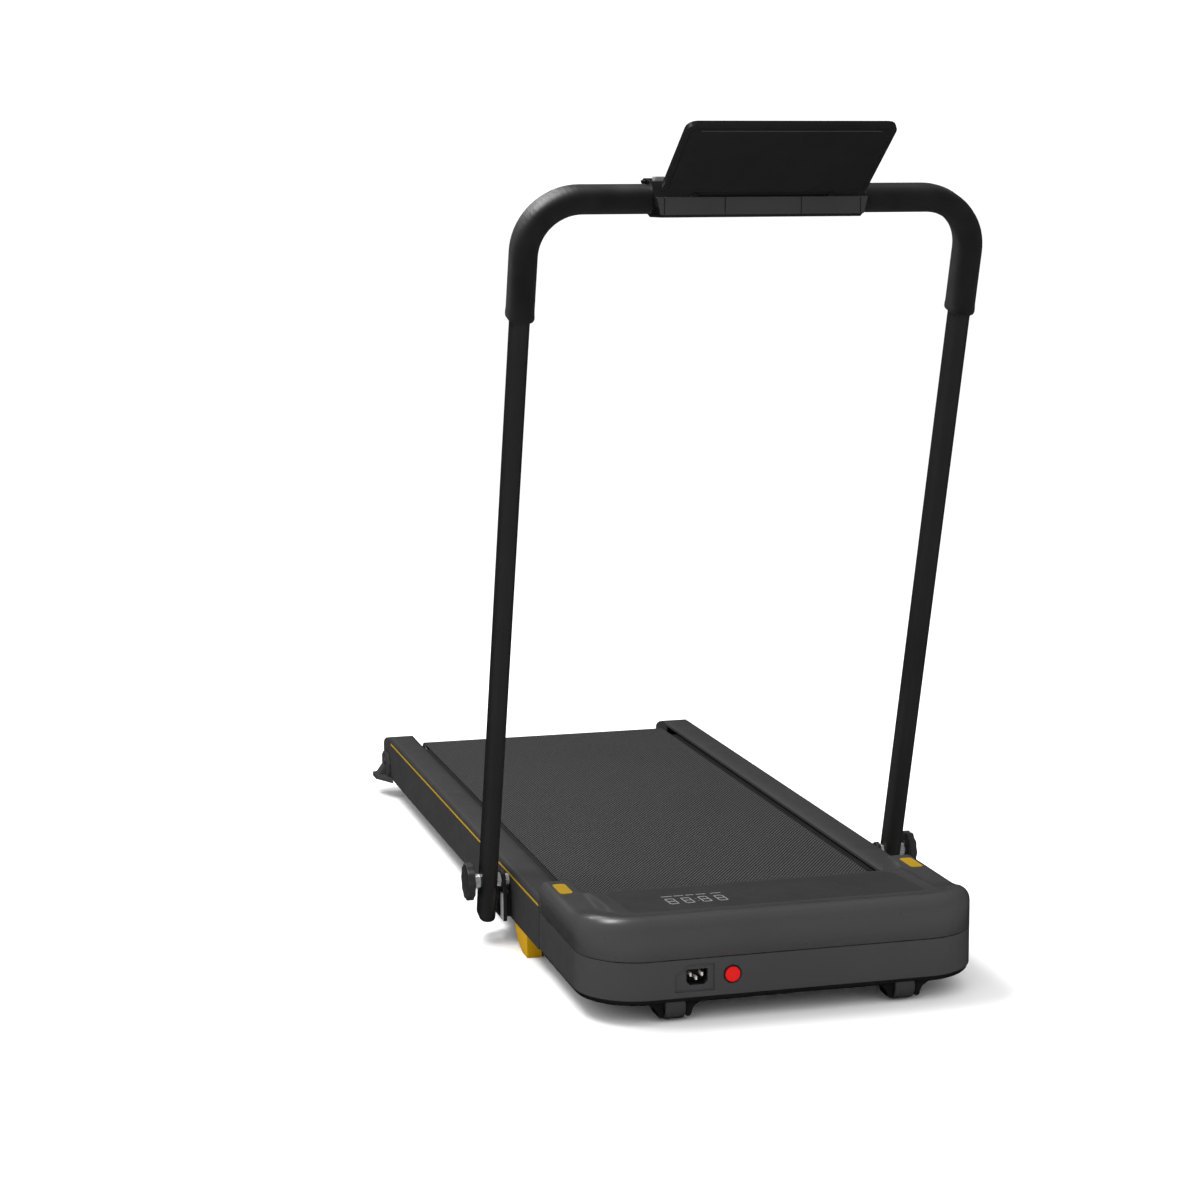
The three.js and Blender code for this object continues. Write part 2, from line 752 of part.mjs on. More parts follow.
// closed band round two pulleys on X axes
function band(y0, z0, r0, y1, z1, r1, thick, x0, x1, steps) {
  const along = Math.atan2(z1 - z0, y1 - y0);
  const spread = Math.acos((r0 - r1) / Math.hypot(y1 - y0, z1 - z0));
  const loop = (grow) => [
    ...arc(y0, z0, r0 + grow, along + spread, along + 2 * Math.PI - spread, steps),
    ...arc(y1, z1, r1 + grow, along - spread, along + spread, steps),
  ];
  return slabX(loop(thick), x0, x1, [loop(0).reverse()]);
}

add(
  "running_belt",
  "belt",
  band(
    FRONT_ROLLER_Y,
    ROLLER_Z,
    innerRadius,
    REAR_ROLLER_Y,
    ROLLER_Z,
    innerRadius,
    BELT_THICK,
    -BELT_WIDTH / 2,
    BELT_WIDTH / 2,
    18,
  ),
);

const pulleyFrom = 1.5 - TUBE_INNER;
const pulleyTo = pulleyFrom + 10;
const rollerHalf = BELT_WIDTH / 2 + 1;

const bored = (radius, from, to, bore) => [
  [bore, from],
  [radius, from],
  [radius, to],
  [bore, to],
];

const frontRoller = turned(
  [
    [AXLE_RADIUS + RUNNING, pulleyFrom],
    [PULLEY_RADIUS - 0.4, pulleyFrom],
    [PULLEY_RADIUS - 0.4, pulleyTo],
    [15, pulleyTo],
    [15, -rollerHalf],
    [ROLLER_RADIUS, -rollerHalf],
    [ROLLER_RADIUS, rollerHalf],
    [AXLE_RADIUS + RUNNING, rollerHalf],
  ],
  36,
);
add("front_roller", "steel", frontRoller.translate(0, FRONT_ROLLER_Y, ROLLER_Z));
add(
  "rear_roller",
  "steel",
  turned(bored(ROLLER_RADIUS, -rollerHalf, rollerHalf, AXLE_RADIUS + RUNNING), 36).translate(
    0,
    REAR_ROLLER_Y,
    ROLLER_Z,
  ),
);
const axleHalf = TUBE_OUTER - TUBE_WALL - GAP;
add(
  "front_axle",
  "steel",
  rodX(FRONT_ROLLER_Y, ROLLER_Z, AXLE_RADIUS, -axleHalf, axleHalf, 20),
);
add("rear_axle", "steel", rodX(REAR_ROLLER_Y, ROLLER_Z, AXLE_RADIUS, -axleHalf, axleHalf, 20));

// ---- motor and its drive
const motorY = FRONT_ROLLER_Y - 101;
const motorZ = 78;
const motorRadius = 36;
const motorFrom = pulleyTo + 20;
const motorTo = motorFrom + 166;
const shaftRadius = 5;
const trayThick = 3;
const trayTop = TUBE_BOTTOM + trayThick;

function motor() {
  const can = rodX(motorY, motorZ, motorRadius, motorFrom + 8, motorTo - 12, 28);
  const bell = rodX(motorY, motorZ, motorRadius - 9, motorFrom, motorTo, 28);
  const feet = box(
    motorFrom + 25,
    motorTo - 30,
    motorY - 24,
    motorY + 24,
    trayTop + GAP,
    motorZ - 25,
  );
  const shaftHole = rodX(motorY, motorZ, shaftRadius + RUNNING, motorFrom - 10, motorFrom + 30, 16);
  return cut(join(can, bell, feet), shaftHole);
}
add("drive_motor", "motor", motor());
add(
  "motor_pulley",
  "steel",
  join(
    rodX(motorY, motorZ, shaftRadius, pulleyTo - 0.2, motorFrom + 28, 16),
    rodX(motorY, motorZ, MOTOR_PULLEY_RADIUS - 0.4, pulleyFrom, pulleyTo, 24),
  ),
);
add(
  "drive_belt",
  "rubber",
  band(
    motorY,
    motorZ,
    MOTOR_PULLEY_RADIUS,
    FRONT_ROLLER_Y,
    ROLLER_Z,
    PULLEY_RADIUS,
    2.4,
    pulleyFrom + 0.5,
    pulleyTo - 0.5,
    16,
  ),
);
add(
  "motor_tray",
  "frame",
  box(-TUBE_INNER + GAP, TUBE_INNER - GAP, motorY - 25, motorY + 55, TUBE_BOTTOM, trayTop),
);

function controlBoard() {
  const floor = trayTop + GAP;
  const [x0, x1] = [TUBE_INNER - 135, TUBE_INNER - 27];
  const [y0, y1] = [motorY - 23, motorY + 51];
  const plate = box(x0, x1, y0, y1, floor + 5, floor + 7);
  const posts = [x0 + 10, x1 - 10].flatMap((x) =>
    [y0 + 8, y1 - 8].map((y) => box(x - 3, x + 3, y - 3, y + 3, floor, floor + 6)),
  );
  const parts = [
    box(x0 + 5, x0 + 37, y0 + 13, y0 + 43, floor + 6, floor + 32),
    box(x0 + 44, x0 + 52, y0 + 10, y1 - 10, floor + 6, floor + 38),
    slabZ(ring(9, 16, x0 + 68, y0 + 28), floor + 6, floor + 34),
    slabZ(ring(9, 16, x0 + 90, y0 + 28), floor + 6, floor + 34),
  ];
  return join(plate, ...posts, ...parts);
}
add("control_board", "green", controlBoard());

// ---- handrail, built upright about its pivot and then leaned
const place = (geometry) => geometry.rotateX(LEAN).translate(0, PIVOT_Y, PIVOT_Z);

// flat-sided tube section: across, fore-and-aft
function stadium(wide, deep, steps) {
  const r = wide / 2;
  const d = deep / 2 - r;
  return [...arc(0, d, r, 0, Math.PI, steps), ...arc(0, -d, r, Math.PI, 2 * Math.PI, steps)];
}

const bendStart = BAR_UP - BEND_RADIUS;
const bendCentre = POST_X - BEND_RADIUS;
const bendSteps = 8;

// stations from the right foot, up, across and down to the left foot
function railStations(fromUp, xs) {
  const stations = [];
  for (const up of fromUp) stations.push({ x: POST_X, z: up, angle: 0 });
  for (let i = 0; i <= bendSteps; i++) {
    const angle = (QUARTER * i) / bendSteps;
    stations.push({
      x: bendCentre + BEND_RADIUS * Math.cos(angle),
      z: bendStart + BEND_RADIUS * Math.sin(angle),
      angle,
    });
  }
  for (const x of xs) stations.push({ x, z: BAR_UP, angle: QUARTER });
  return stations;
}

// sweeps closed sections along stations; with an inner size the sweep is a tube open at both ends
function sweep(stations, sizes, inner) {
  const steps = 6;
  const positions = [];
  const indices = [];
  const count = 2 * (steps + 1);
  const pushRing = (station, [wide, deep]) =>
    stadium(wide, deep, steps).forEach(([u, v]) =>
      positions.push(
        station.x + u * Math.cos(station.angle),
        v,
        station.z + u * Math.sin(station.angle),
      ),
    );
  stations.forEach((station, i) => pushRing(station, sizes[i]));
  if (inner) stations.forEach((station) => pushRing(station, inner));
  const half = stations.length * count;
  const quad = (a, b, c, d) => indices.push(a, b, c, a, c, d);
  for (let r = 0; r + 1 < stations.length; r++)
    for (let i = 0; i < count; i++) {
      const a = r * count + i;
      const b = r * count + ((i + 1) % count);
      quad(a, b, b + count, a + count);
      if (inner) quad(half + b, half + a, half + a + count, half + b + count);
    }
  const last = (stations.length - 1) * count;
  if (inner)
    for (let i = 0; i < count; i++) {
      const j = (i + 1) % count;
      quad(j, i, half + i, half + j);
      quad(last + i, last + j, half + last + j, half + last + i);
    }
  const geometry = new THREE.BufferGeometry();
  geometry.setAttribute("position", new THREE.Float32BufferAttribute(positions, 3));
  geometry.setIndex(indices);
  return geometry;
}

const tubeInner = [POST_WIDE - 2 * POST_WALL, POST_DEEP - 2 * POST_WALL];

function handrailTube() {
  const up = railStations([-POST_DOWN, GRIP_FROM], [CONSOLE_HALF]);
  const other = up
    .slice()
    .reverse()
    .map(({ x, z, angle }) => ({ x: -x, z, angle: Math.PI - angle }));
  const stations = [...up, ...other];
  const tube = toSolid(
    sweep(
      stations,
      stations.map(() => [POST_WIDE, POST_DEEP]),
      tubeInner,
    ),
  );
  const holes = [1, -1].map((side) =>
    toSolid(
      rodX(0, 0, STUD_RADIUS + RUNNING, side * POST_X - POST_WIDE, side * POST_X + POST_WIDE, 20),
    ),
  );
  return place(toGeometry(holes.reduce((left, hole) => left.subtract(hole), tube)));
}
add("handrail_tube", "tube", handrailTube());

function grip() {
  const stations = railStations([GRIP_FROM, GRIP_FROM + 7, GRIP_FROM + 10], [CONSOLE_HALF + GAP]);
  const sizes = stations.map(() => [GRIP_WIDE, GRIP_DEEP]);
  sizes[0] = [GRIP_WIDE - 3, GRIP_DEEP - 3];
  sizes[1] = [GRIP_WIDE + 1, GRIP_DEEP + 1];
  return place(sweep(stations, sizes, [POST_WIDE + 2 * GAP, POST_DEEP + 2 * GAP]));
}
pair("grip_sleeve", "foam", grip());

function postEnd() {
  const [plugWide, plugDeep] = tubeInner.map((size) => size - 2 * GAP);
  const layer = (wide, deep, z0, z1) =>
    slabZ(
      stadium(wide, deep, 6).map(([u, v]) => [POST_X + u, v]),
      z0,
      z1,
    );
  const low = -POST_DOWN - GAP;
  return place(
    join(
      layer(plugWide, plugDeep, low - 1, -POST_DOWN + 14),
      layer(POST_WIDE, POST_DEEP, low - 3, low),
      layer(POST_WIDE - 3, POST_DEEP - 3, low - 5.5, low - 2.5),
      layer(POST_WIDE - 8, POST_DEEP - 8, low - 7.5, low - 5),
    ),
  );
}
pair("post_end", "rubber", postEnd());

// ---- pivots
const bracketInner = HALF_WIDTH + 7;
const bracketOuter = bracketInner + 5;
const stopRadius = 5;
const stopDown = 45;
const stopBack = POST_DEEP / 2 + stopRadius + GAP;
const leanPoint = (up, back) => [
  PIVOT_Y - up * Math.sin(LEAN) + back * Math.cos(LEAN),
  PIVOT_Z + up * Math.cos(LEAN) + back * Math.sin(LEAN),
];

function pivotBracket() {
  const plate = slabX(
    [
      [PIVOT_Y - 18, RAIL_BOTTOM - 2],
      [PIVOT_Y + 48, RAIL_BOTTOM - 2],
      [PIVOT_Y + 48, 54],
      [PIVOT_Y + 24, 88],
      ...arc(PIVOT_Y, PIVOT_Z, 18, 0.5, Math.PI - 0.3, 6),
      [PIVOT_Y - 18, 66],
    ],
    bracketInner,
    bracketOuter,
  );
  const spacer = box(
    HALF_WIDTH + GAP,
    bracketInner + 1,
    PIVOT_Y - 10,
    PIVOT_Y + 40,
    RAIL_BOTTOM + 2,
    62,
  );
  const boss = rodX(
    PIVOT_Y,
    PIVOT_Z,
    STUD_RADIUS + 8,
    bracketOuter - 1,
    POST_X - POST_WIDE / 2 - RUNNING,
    24,
  );
  const [stopY, stopZ] = leanPoint(-stopDown, stopBack);
  const stop = rodX(stopY, stopZ, stopRadius, bracketOuter - 1, POST_X + 6, 16);
  const bore = rodX(PIVOT_Y, PIVOT_Z, STUD_RADIUS + RUNNING, HALF_WIDTH, POST_X, 20);
  return cut(join(plate, spacer, boss, stop), bore);
}
pair("pivot_bracket", "frame", pivotBracket());

const knobFrom = POST_X + POST_WIDE / 2 + 8;
const knobThick = 12;

// lobed hand knob
function knob() {
  const lobes = 8;
  const outline = Array.from({ length: lobes * 6 }, (_, i) => {
    const angle = (2 * Math.PI * i) / (lobes * 6);
    const radius = 21.5 + 2 * Math.cos(lobes * angle);
    return [PIVOT_Y + radius * Math.cos(angle), PIVOT_Z + radius * Math.sin(angle)];
  });
  const body = slabX(outline, knobFrom + 2, knobFrom + knobThick);
  const hub = rodX(PIVOT_Y, PIVOT_Z, STUD_RADIUS + 7, knobFrom, knobFrom + 3, 20);
  const bore = rodX(PIVOT_Y, PIVOT_Z, STUD_RADIUS + GAP, knobFrom - 1, knobFrom + 8, 20);
  return cut(join(body, hub), bore);
}
pair("pivot_knob", "rubber", knob());

function stud() {
  const shank = rodX(PIVOT_Y, PIVOT_Z, STUD_RADIUS, bracketInner - 5.5, knobFrom + 7.5, 20);
  const collar = rodX(
    PIVOT_Y,
    PIVOT_Z,
    STUD_RADIUS + 4,
    POST_X + POST_WIDE / 2 + RUNNING,
    knobFrom - GAP,
    20,
  );
  const nut = slabX(
    ring(STUD_RADIUS + 2.5, 6, PIVOT_Y, PIVOT_Z),
    HALF_WIDTH + 1.2,
    bracketInner - RUNNING,
  );
  return join(shank, collar, nut);
}
pair("pivot_stud", "chrome", stud());

// ---- console on the crossbar
const barY = PIVOT_Y - BAR_UP * Math.sin(LEAN);
const barZ = PIVOT_Z + BAR_UP * Math.cos(LEAN);
const ledgeZ = barZ + 1.7; // shelf in front, under the tablet plate
const consoleFront = barY - POST_DEEP / 2 - 12;
const consoleBack = barY + POST_DEEP / 2 + 12;
const consoleTop = barZ + POST_WIDE / 2 + 13.5;
const consoleLow = barZ - POST_WIDE / 2 - 11;
const hingeY = consoleFront + 4;
const hingeZ = ledgeZ + 4.5;
const pinRadius = 1.8;
const lugX = TABLET_WIDE / 2 - 42;
const lugPlaces = [-1, 1].map((side) => [side * lugX - 3.5, side * lugX + 3.5]);

const consoleProfile = [
  [consoleFront + 4, consoleLow],
  [consoleBack - 6, consoleLow],
  [consoleBack, consoleLow + 6],
  [consoleBack, consoleTop - 7],
  [consoleBack - 3, consoleTop - 2],
  [consoleBack - 8, consoleTop],
  [consoleFront + 24, consoleTop - 4],
  [consoleFront + 15, ledgeZ + 11],
  [consoleFront + 9.5, ledgeZ],
  [consoleFront, ledgeZ],
  [consoleFront, consoleLow + 4],
];

// key on the top of the console, beside the tablet plate
const keyPlace = [14 - CONSOLE_HALF, consoleBack - 24];
const keyBlock = (grow, low) =>
  slabZ(rounded(...keyPlace, 6.5 + grow, 6 + grow, 2 + grow), low, consoleTop + 2);

function lug([from, to]) {
  return join(
    rodX(hingeY, hingeZ, 4, from, to, 20),
    box(from, to, hingeY - 4, hingeY + 4, ledgeZ - 1, hingeZ),
  );
}

// half of the console shell: back is 1 for the walker's side, -1 for the hood's side
function consoleHalf(back) {
  const body = slabX(consoleProfile, -CONSOLE_HALF, CONSOLE_HALF);
  const half = 200;
  const [y0, y1] = back > 0 ? [-half, GAP / 2] : [-GAP / 2, half];
  const other = place(box(-half, half, y0, y1, BAR_UP - half, BAR_UP + half));
  const outline = stadium(POST_WIDE + 2 * GAP, POST_DEEP + 2 * GAP, 6);
  const channel = place(
    slabX(outline.map(([u, v]) => [v, u + BAR_UP]).reverse(), -CONSOLE_HALF - 5, CONSOLE_HALF + 5),
  );
  const pieces = [body];
  const tools = [other, channel];
  if (back > 0) {
    for (const side of [1, -1]) {
      const wing = [side * (CONSOLE_HALF - 1), side * (CONSOLE_HALF + 12)].sort((m, n) => m - n);
      pieces.push(box(...wing, barY, consoleBack - 8, consoleTop - 5.5, consoleTop - 2.2));
    }
    tools.push(keyBlock(RUNNING, consoleTop - 7));
  } else {
    pieces.push(...lugPlaces.map(lug));
    for (const [from, to] of lugPlaces)
      tools.push(rodX(hingeY, hingeZ, pinRadius + RUNNING, from - 1, to + 1, 12));
    for (const x of [-1, -0.387, 0.387, 1].map((part) => part * (CONSOLE_HALF - 7)))
      tools.push(
        box(x - 0.7, x + 0.7, consoleFront - 2, consoleFront + 1, consoleLow + 6, ledgeZ - 3),
      );
  }
  return cut(join(...pieces), ...tools);
}

add("console_front", "pan", consoleHalf(-1));
add("console_back", "pan", consoleHalf(1));
const keyTravel = 1.5;
add("console_key", "rubber", keyBlock(0, consoleTop - 7 + keyTravel + GAP));

function tabletPlate() {
  const from = 3;
  const middle = from + TABLET_LONG / 2;
  const plate = slabY(
    rounded(0, middle, TABLET_WIDE / 2, TABLET_LONG / 2, 12),
    -TABLET_THICK / 2,
    TABLET_THICK / 2,
  );
  const notches = lugPlaces.map(([x0, x1]) =>
    box(x0 - RUNNING, x1 + RUNNING, -TABLET_THICK, TABLET_THICK, -5, 8),
  );
  const [inner] = lugPlaces[1];
  const barrel = rodX(0, 0, 3.2, RUNNING - inner, inner - RUNNING, 20);
  const pin = rodX(0, 0, pinRadius, -inner - 6.5, inner + 6.5, 12);
  return toGeometry(toSolid(cut(plate, ...notches)).add(toSolid(join(barrel, pin))))
    .rotateX(TABLET_LEAN)
    .translate(0, hingeY, hingeZ);
}
add("tablet_plate", "gloss", tabletPlate());

group.position.y = -(LENGTH + buttonFront) / 2;

export default group;
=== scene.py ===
import json
import math
import bmesh
import bpy
from mathutils import Matrix, Vector


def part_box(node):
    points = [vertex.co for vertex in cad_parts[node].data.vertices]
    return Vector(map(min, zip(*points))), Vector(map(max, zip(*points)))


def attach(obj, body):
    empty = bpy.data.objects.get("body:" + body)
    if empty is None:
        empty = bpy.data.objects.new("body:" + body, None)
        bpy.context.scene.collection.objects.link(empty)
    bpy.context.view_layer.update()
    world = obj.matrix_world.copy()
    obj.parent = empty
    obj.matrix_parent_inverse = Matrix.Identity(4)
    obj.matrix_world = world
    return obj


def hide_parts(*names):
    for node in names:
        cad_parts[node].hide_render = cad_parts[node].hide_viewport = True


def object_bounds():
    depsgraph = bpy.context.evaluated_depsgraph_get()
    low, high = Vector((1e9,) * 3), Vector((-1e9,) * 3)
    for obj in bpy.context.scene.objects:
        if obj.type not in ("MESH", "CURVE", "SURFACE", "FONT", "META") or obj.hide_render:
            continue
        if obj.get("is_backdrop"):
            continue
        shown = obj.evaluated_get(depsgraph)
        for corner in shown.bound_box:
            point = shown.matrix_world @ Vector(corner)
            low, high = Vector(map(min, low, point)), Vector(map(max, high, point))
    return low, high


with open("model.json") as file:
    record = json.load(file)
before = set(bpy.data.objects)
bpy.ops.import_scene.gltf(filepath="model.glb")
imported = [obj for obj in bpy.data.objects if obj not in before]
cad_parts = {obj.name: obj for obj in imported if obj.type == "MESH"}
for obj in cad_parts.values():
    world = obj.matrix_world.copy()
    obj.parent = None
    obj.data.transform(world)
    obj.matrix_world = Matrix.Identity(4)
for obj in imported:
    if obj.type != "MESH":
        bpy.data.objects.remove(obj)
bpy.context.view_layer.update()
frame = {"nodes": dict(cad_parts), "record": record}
record = frame["record"]
nodes = frame["nodes"]
mm = 0.001

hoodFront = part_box("lower_shell")[0].y  # the depths of the front pieces count from here
quarter = math.pi / 2

bodyOf = {}
for bodyName, members in record["behaviour"]["bodies"].items():
    for member in members:
        bodyOf[member] = bodyName
slotOf = {entry["node"]: entry["material_slot"] for entry in record["subparts"]}
jointOf = {joint["name"]: joint for joint in record["behaviour"]["joints"]}


# camera, floor and light
cameraSetup = {
    "place": (-1.0035, -3.4830, 0.9781),
    "turn": 15.15,      # degrees towards +X
    "down": 9.11,
    "roll": -0.25,
    "lens": 79.09,
    "clip": (0.05, 200),
}


def makeCamera():
    turn = math.radians(cameraSetup["turn"])
    down = math.radians(cameraSetup["down"])
    roll = math.radians(cameraSetup["roll"])
    ahead = Vector((math.sin(turn) * math.cos(down), math.cos(turn) * math.cos(down), -math.sin(down)))
    across = Vector((math.cos(turn), -math.sin(turn), 0))
    above = across.cross(ahead)
    right = across * math.cos(roll) + above * math.sin(roll)
    up = above * math.cos(roll) - across * math.sin(roll)
    data = bpy.data.cameras.new("studioCamera")
    data.lens = cameraSetup["lens"]
    data.sensor_width = 36
    data.clip_start, data.clip_end = cameraSetup["clip"]
    camera = bpy.data.objects.new("studioCamera", data)
    bpy.context.scene.collection.objects.link(camera)
    camera.matrix_world = Matrix.Translation(cameraSetup["place"]) @ Matrix(
        (right, up, -ahead)
    ).transposed().to_4x4()
    bpy.context.scene.camera = camera


studio = {
    "floorHalf": 60,
    "floorColor": (0.97, 0.97, 0.97, 1),
    "worldColor": (1, 1, 1, 1),
    "worldStrength": 1.12,
}
# name, place, aimed at, width, height, watts
studioLights = [
    ("overheadLeft", (-1.0, 0.2, 2.45), (-0.2, -0.55, 0.1), 1.5, 0.7, 50),
    ("rearTop", (-0.9, 2.3, 2.6), (0, -0.4, 0.4), 1.6, 0.5, 22),
]


def makeStudio():
    bm = bmesh.new()
    bmesh.ops.create_grid(bm, x_segments=1, y_segments=1, size=studio["floorHalf"])
    mesh = bpy.data.meshes.new("studioFloor")
    bm.to_mesh(mesh)
    bm.free()
    floor = bpy.data.objects.new("studioFloor", mesh)
    bpy.context.scene.collection.objects.link(floor)
    paint = bpy.data.materials.new("studioPaint")
    paint.use_nodes = True
    surface = paint.node_tree.nodes["Principled BSDF"]
    surface.inputs["Base Color"].default_value = studio["floorColor"]
    surface.inputs["Roughness"].default_value = 0.9
    surface.inputs["Specular IOR Level"].default_value = 0.1
    mesh.materials.append(paint)
    floor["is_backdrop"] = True
    floor.visible_glossy = False
    world = bpy.data.worlds.new("studioWorld")
    world.use_nodes = True
    backdrop = world.node_tree.nodes["Background"]
    backdrop.inputs["Color"].default_value = studio["worldColor"]
    backdrop.inputs["Strength"].default_value = studio["worldStrength"]
    world.cycles_visibility.glossy = False  # the lamps alone make the highlights
    bpy.context.scene.world = world
    for name, place, target, wide, high, watts in studioLights:
        data = bpy.data.lights.new(name, "AREA")
        data.shape = "RECTANGLE"
        data.size, data.size_y, data.energy = wide, high, watts
        lamp = bpy.data.objects.new(name, data)
        bpy.context.scene.collection.objects.link(lamp)
        lamp.location = place
        lamp.rotation_euler = (Vector(target) - Vector(place)).to_track_quat("-Z", "Y").to_euler()


makeCamera()
makeStudio()
bpy.context.scene.view_settings.view_transform = "Standard"
print("camera and studio ready")


# finishes
def startFinish(name):
    material = bpy.data.materials.new(name)
    material.use_nodes = True
    tree = material.node_tree
    return material, tree, tree.nodes["Principled BSDF"]


def objectCoords(tree):
    return tree.nodes.new("ShaderNodeTexCoord").outputs["Object"]


def noiseOn(tree, coords, scale, detail=3.0):
    noise = tree.nodes.new("ShaderNodeTexNoise")
    noise.inputs["Scale"].default_value = scale
    noise.inputs["Detail"].default_value = detail
    tree.links.new(coords, noise.inputs["Vector"])
    return noise.outputs["Fac"]


def ranged(tree, source, low, high, fromLow=0.3, fromHigh=0.7):
    node = tree.nodes.new("ShaderNodeMapRange")
    for socket, value in (("From Min", fromLow), ("From Max", fromHigh), ("To Min", low), ("To Max", high)):
        node.inputs[socket].default_value = value
    tree.links.new(source, node.inputs["Value"])
    return node.outputs["Result"]


def tinted(tree, factor, dark, light):
    ramp = tree.nodes.new("ShaderNodeValToRGB")
    ramp.color_ramp.elements[0].position = 0.25
    ramp.color_ramp.elements[1].position = 0.75
    ramp.color_ramp.elements[0].color = (*dark, 1)
    ramp.color_ramp.elements[1].color = (*light, 1)
    tree.links.new(factor, ramp.inputs["Fac"])
    return ramp.outputs["Color"]


def bumped(tree, surface, height, distance, strength=1.0, before=None):
    bump = tree.nodes.new("ShaderNodeBump")
    bump.inputs["Strength"].default_value = strength
    bump.inputs["Distance"].default_value = distance
    tree.links.new(height, bump.inputs["Height"])
    if before:
        tree.links.new(before, bump.inputs["Normal"])
    tree.links.new(bump.outputs["Normal"], surface.inputs["Normal"])
    return bump.outputs["Normal"]


def shade(color, share):
    return tuple(channel * share for channel in color)


# moulded or coated surface: a fine grain, a slow change of tone, and a slightly uneven sheen
def grainedFinish(name, color, rough, grain, depth, spread=0.12, level=0.5):
    material, tree, surface = startFinish(name)
    coords = objectCoords(tree)
    slow = noiseOn(tree, coords, 9.0, 4.0)
    tree.links.new(tinted(tree, slow, shade(color, 1 - spread), shade(color, 1 + spread)),
                   surface.inputs["Base Color"])
    middle = noiseOn(tree, coords, 55.0, 5.0)
    tree.links.new(ranged(tree, middle, rough * 0.88, min(1, rough * 1.12)), surface.inputs["Roughness"])
    bumped(tree, surface, noiseOn(tree, coords, grain, 2.0), depth)
    surface.inputs["Specular IOR Level"].default_value = level
    return material


# turned or drawn metal: streaks stretched along one axis
def drawnFinish(name, color, rough, stretch, grain=260.0, depth=0.00002, metallic=1.0):
    material, tree, surface = startFinish(name)
    coords = objectCoords(tree)
    mapping = tree.nodes.new("ShaderNodeMapping")
    mapping.inputs["Scale"].default_value = stretch
    tree.links.new(coords, mapping.inputs["Vector"])
    streak = noiseOn(tree, mapping.outputs["Vector"], grain, 4.0)
    tree.links.new(tinted(tree, streak, shade(color, 0.82), color), surface.inputs["Base Color"])
    tree.links.new(ranged(tree, streak, rough * 0.75, rough * 1.3), surface.inputs["Roughness"])
    bumped(tree, surface, streak, depth)
    surface.inputs["Metallic"].default_value = metallic
    return material


# walking belt: crossed diagonal rows of raised diamonds over a woven backing
def beltFinish():
    pitch = 4.0 * mm
    material, tree, surface = startFinish("diamondBelt")
    coords = objectCoords(tree)
    rows = []
    for turn in (34, -34):
        mapping = tree.nodes.new("ShaderNodeMapping")
        mapping.inputs["Rotation"].default_value = (0, 0, math.radians(turn))
        tree.links.new(coords, mapping.inputs["Vector"])
        wave = tree.nodes.new("ShaderNodeTexWave")
        wave.wave_type = "BANDS"
        wave.bands_direction = "X"
        wave.inputs["Scale"].default_value = math.pi / (10 * pitch)
        tree.links.new(mapping.outputs["Vector"], wave.inputs["Vector"])
        rows.append(wave.outputs["Fac"])
    diamonds = tree.nodes.new("ShaderNodeMath")
    diamonds.operation = "MULTIPLY"
    tree.links.new(rows[0], diamonds.inputs[0])
    tree.links.new(rows[1], diamonds.inputs[1])
    slow = noiseOn(tree, coords, 5.0, 5.0)
    tone = tinted(tree, diamonds.outputs["Value"], (0.010, 0.010, 0.0103), (0.125, 0.125, 0.126))
    worn = tree.nodes.new("ShaderNodeMix")
    worn.data_type = "RGBA"
    worn.blend_type = "MULTIPLY"
    worn.inputs["Factor"].default_value = 0.25
    tree.links.new(tone, worn.inputs["A"])
    tree.links.new(tinted(tree, slow, (0.75, 0.75, 0.75), (1, 1, 1)), worn.inputs["B"])
    tree.links.new(worn.outputs["Result"], surface.inputs["Base Color"])
    tree.links.new(ranged(tree, diamonds.outputs["Value"], 0.78, 0.55, 0, 1), surface.inputs["Roughness"])
    bumped(tree, surface, diamonds.outputs["Value"], 0.35 * mm, 0.7)
    surface.inputs["Specular IOR Level"].default_value = 0.2
    return material


# grip foam: a tight skin with tiny closed cells and long soft creases
def foamFinish():
    material, tree, surface = startFinish("gripFoam")
    coords = objectCoords(tree)
    cells = tree.nodes.new("ShaderNodeTexVoronoi")
    cells.inputs["Scale"].default_value = 1300
    tree.links.new(coords, cells.inputs["Vector"])
    soft = noiseOn(tree, coords, 38.0, 4.0)
    tree.links.new(tinted(tree, soft, (0.0072, 0.0072, 0.0074), (0.0108, 0.0108, 0.0111)),
                   surface.inputs["Base Color"])
    first = bumped(tree, surface, cells.outputs["Distance"], 0.08 * mm, 0.6)
    bumped(tree, surface, soft, 0.25 * mm, 0.35, first)
    tree.links.new(ranged(tree, soft, 0.42, 0.56), surface.inputs["Roughness"])
    surface.inputs["Sheen Weight"].default_value = 0.04
    surface.inputs["Sheen Roughness"].default_value = 0.5
    return material


# pale grey: printed digits on the display, and on the console key a painted highlight that stands in for the
# light on its top
def paleFinish():
    material, tree, surface = startFinish("palePrintAndKeyHighlight")
    coords = objectCoords(tree)
    tree.links.new(tinted(tree, noiseOn(tree, coords, 700.0), (0.20, 0.20, 0.205), (0.27, 0.27, 0.275)),
                   surface.inputs["Base Color"])
    surface.inputs["Roughness"].default_value = 0.5
    return material


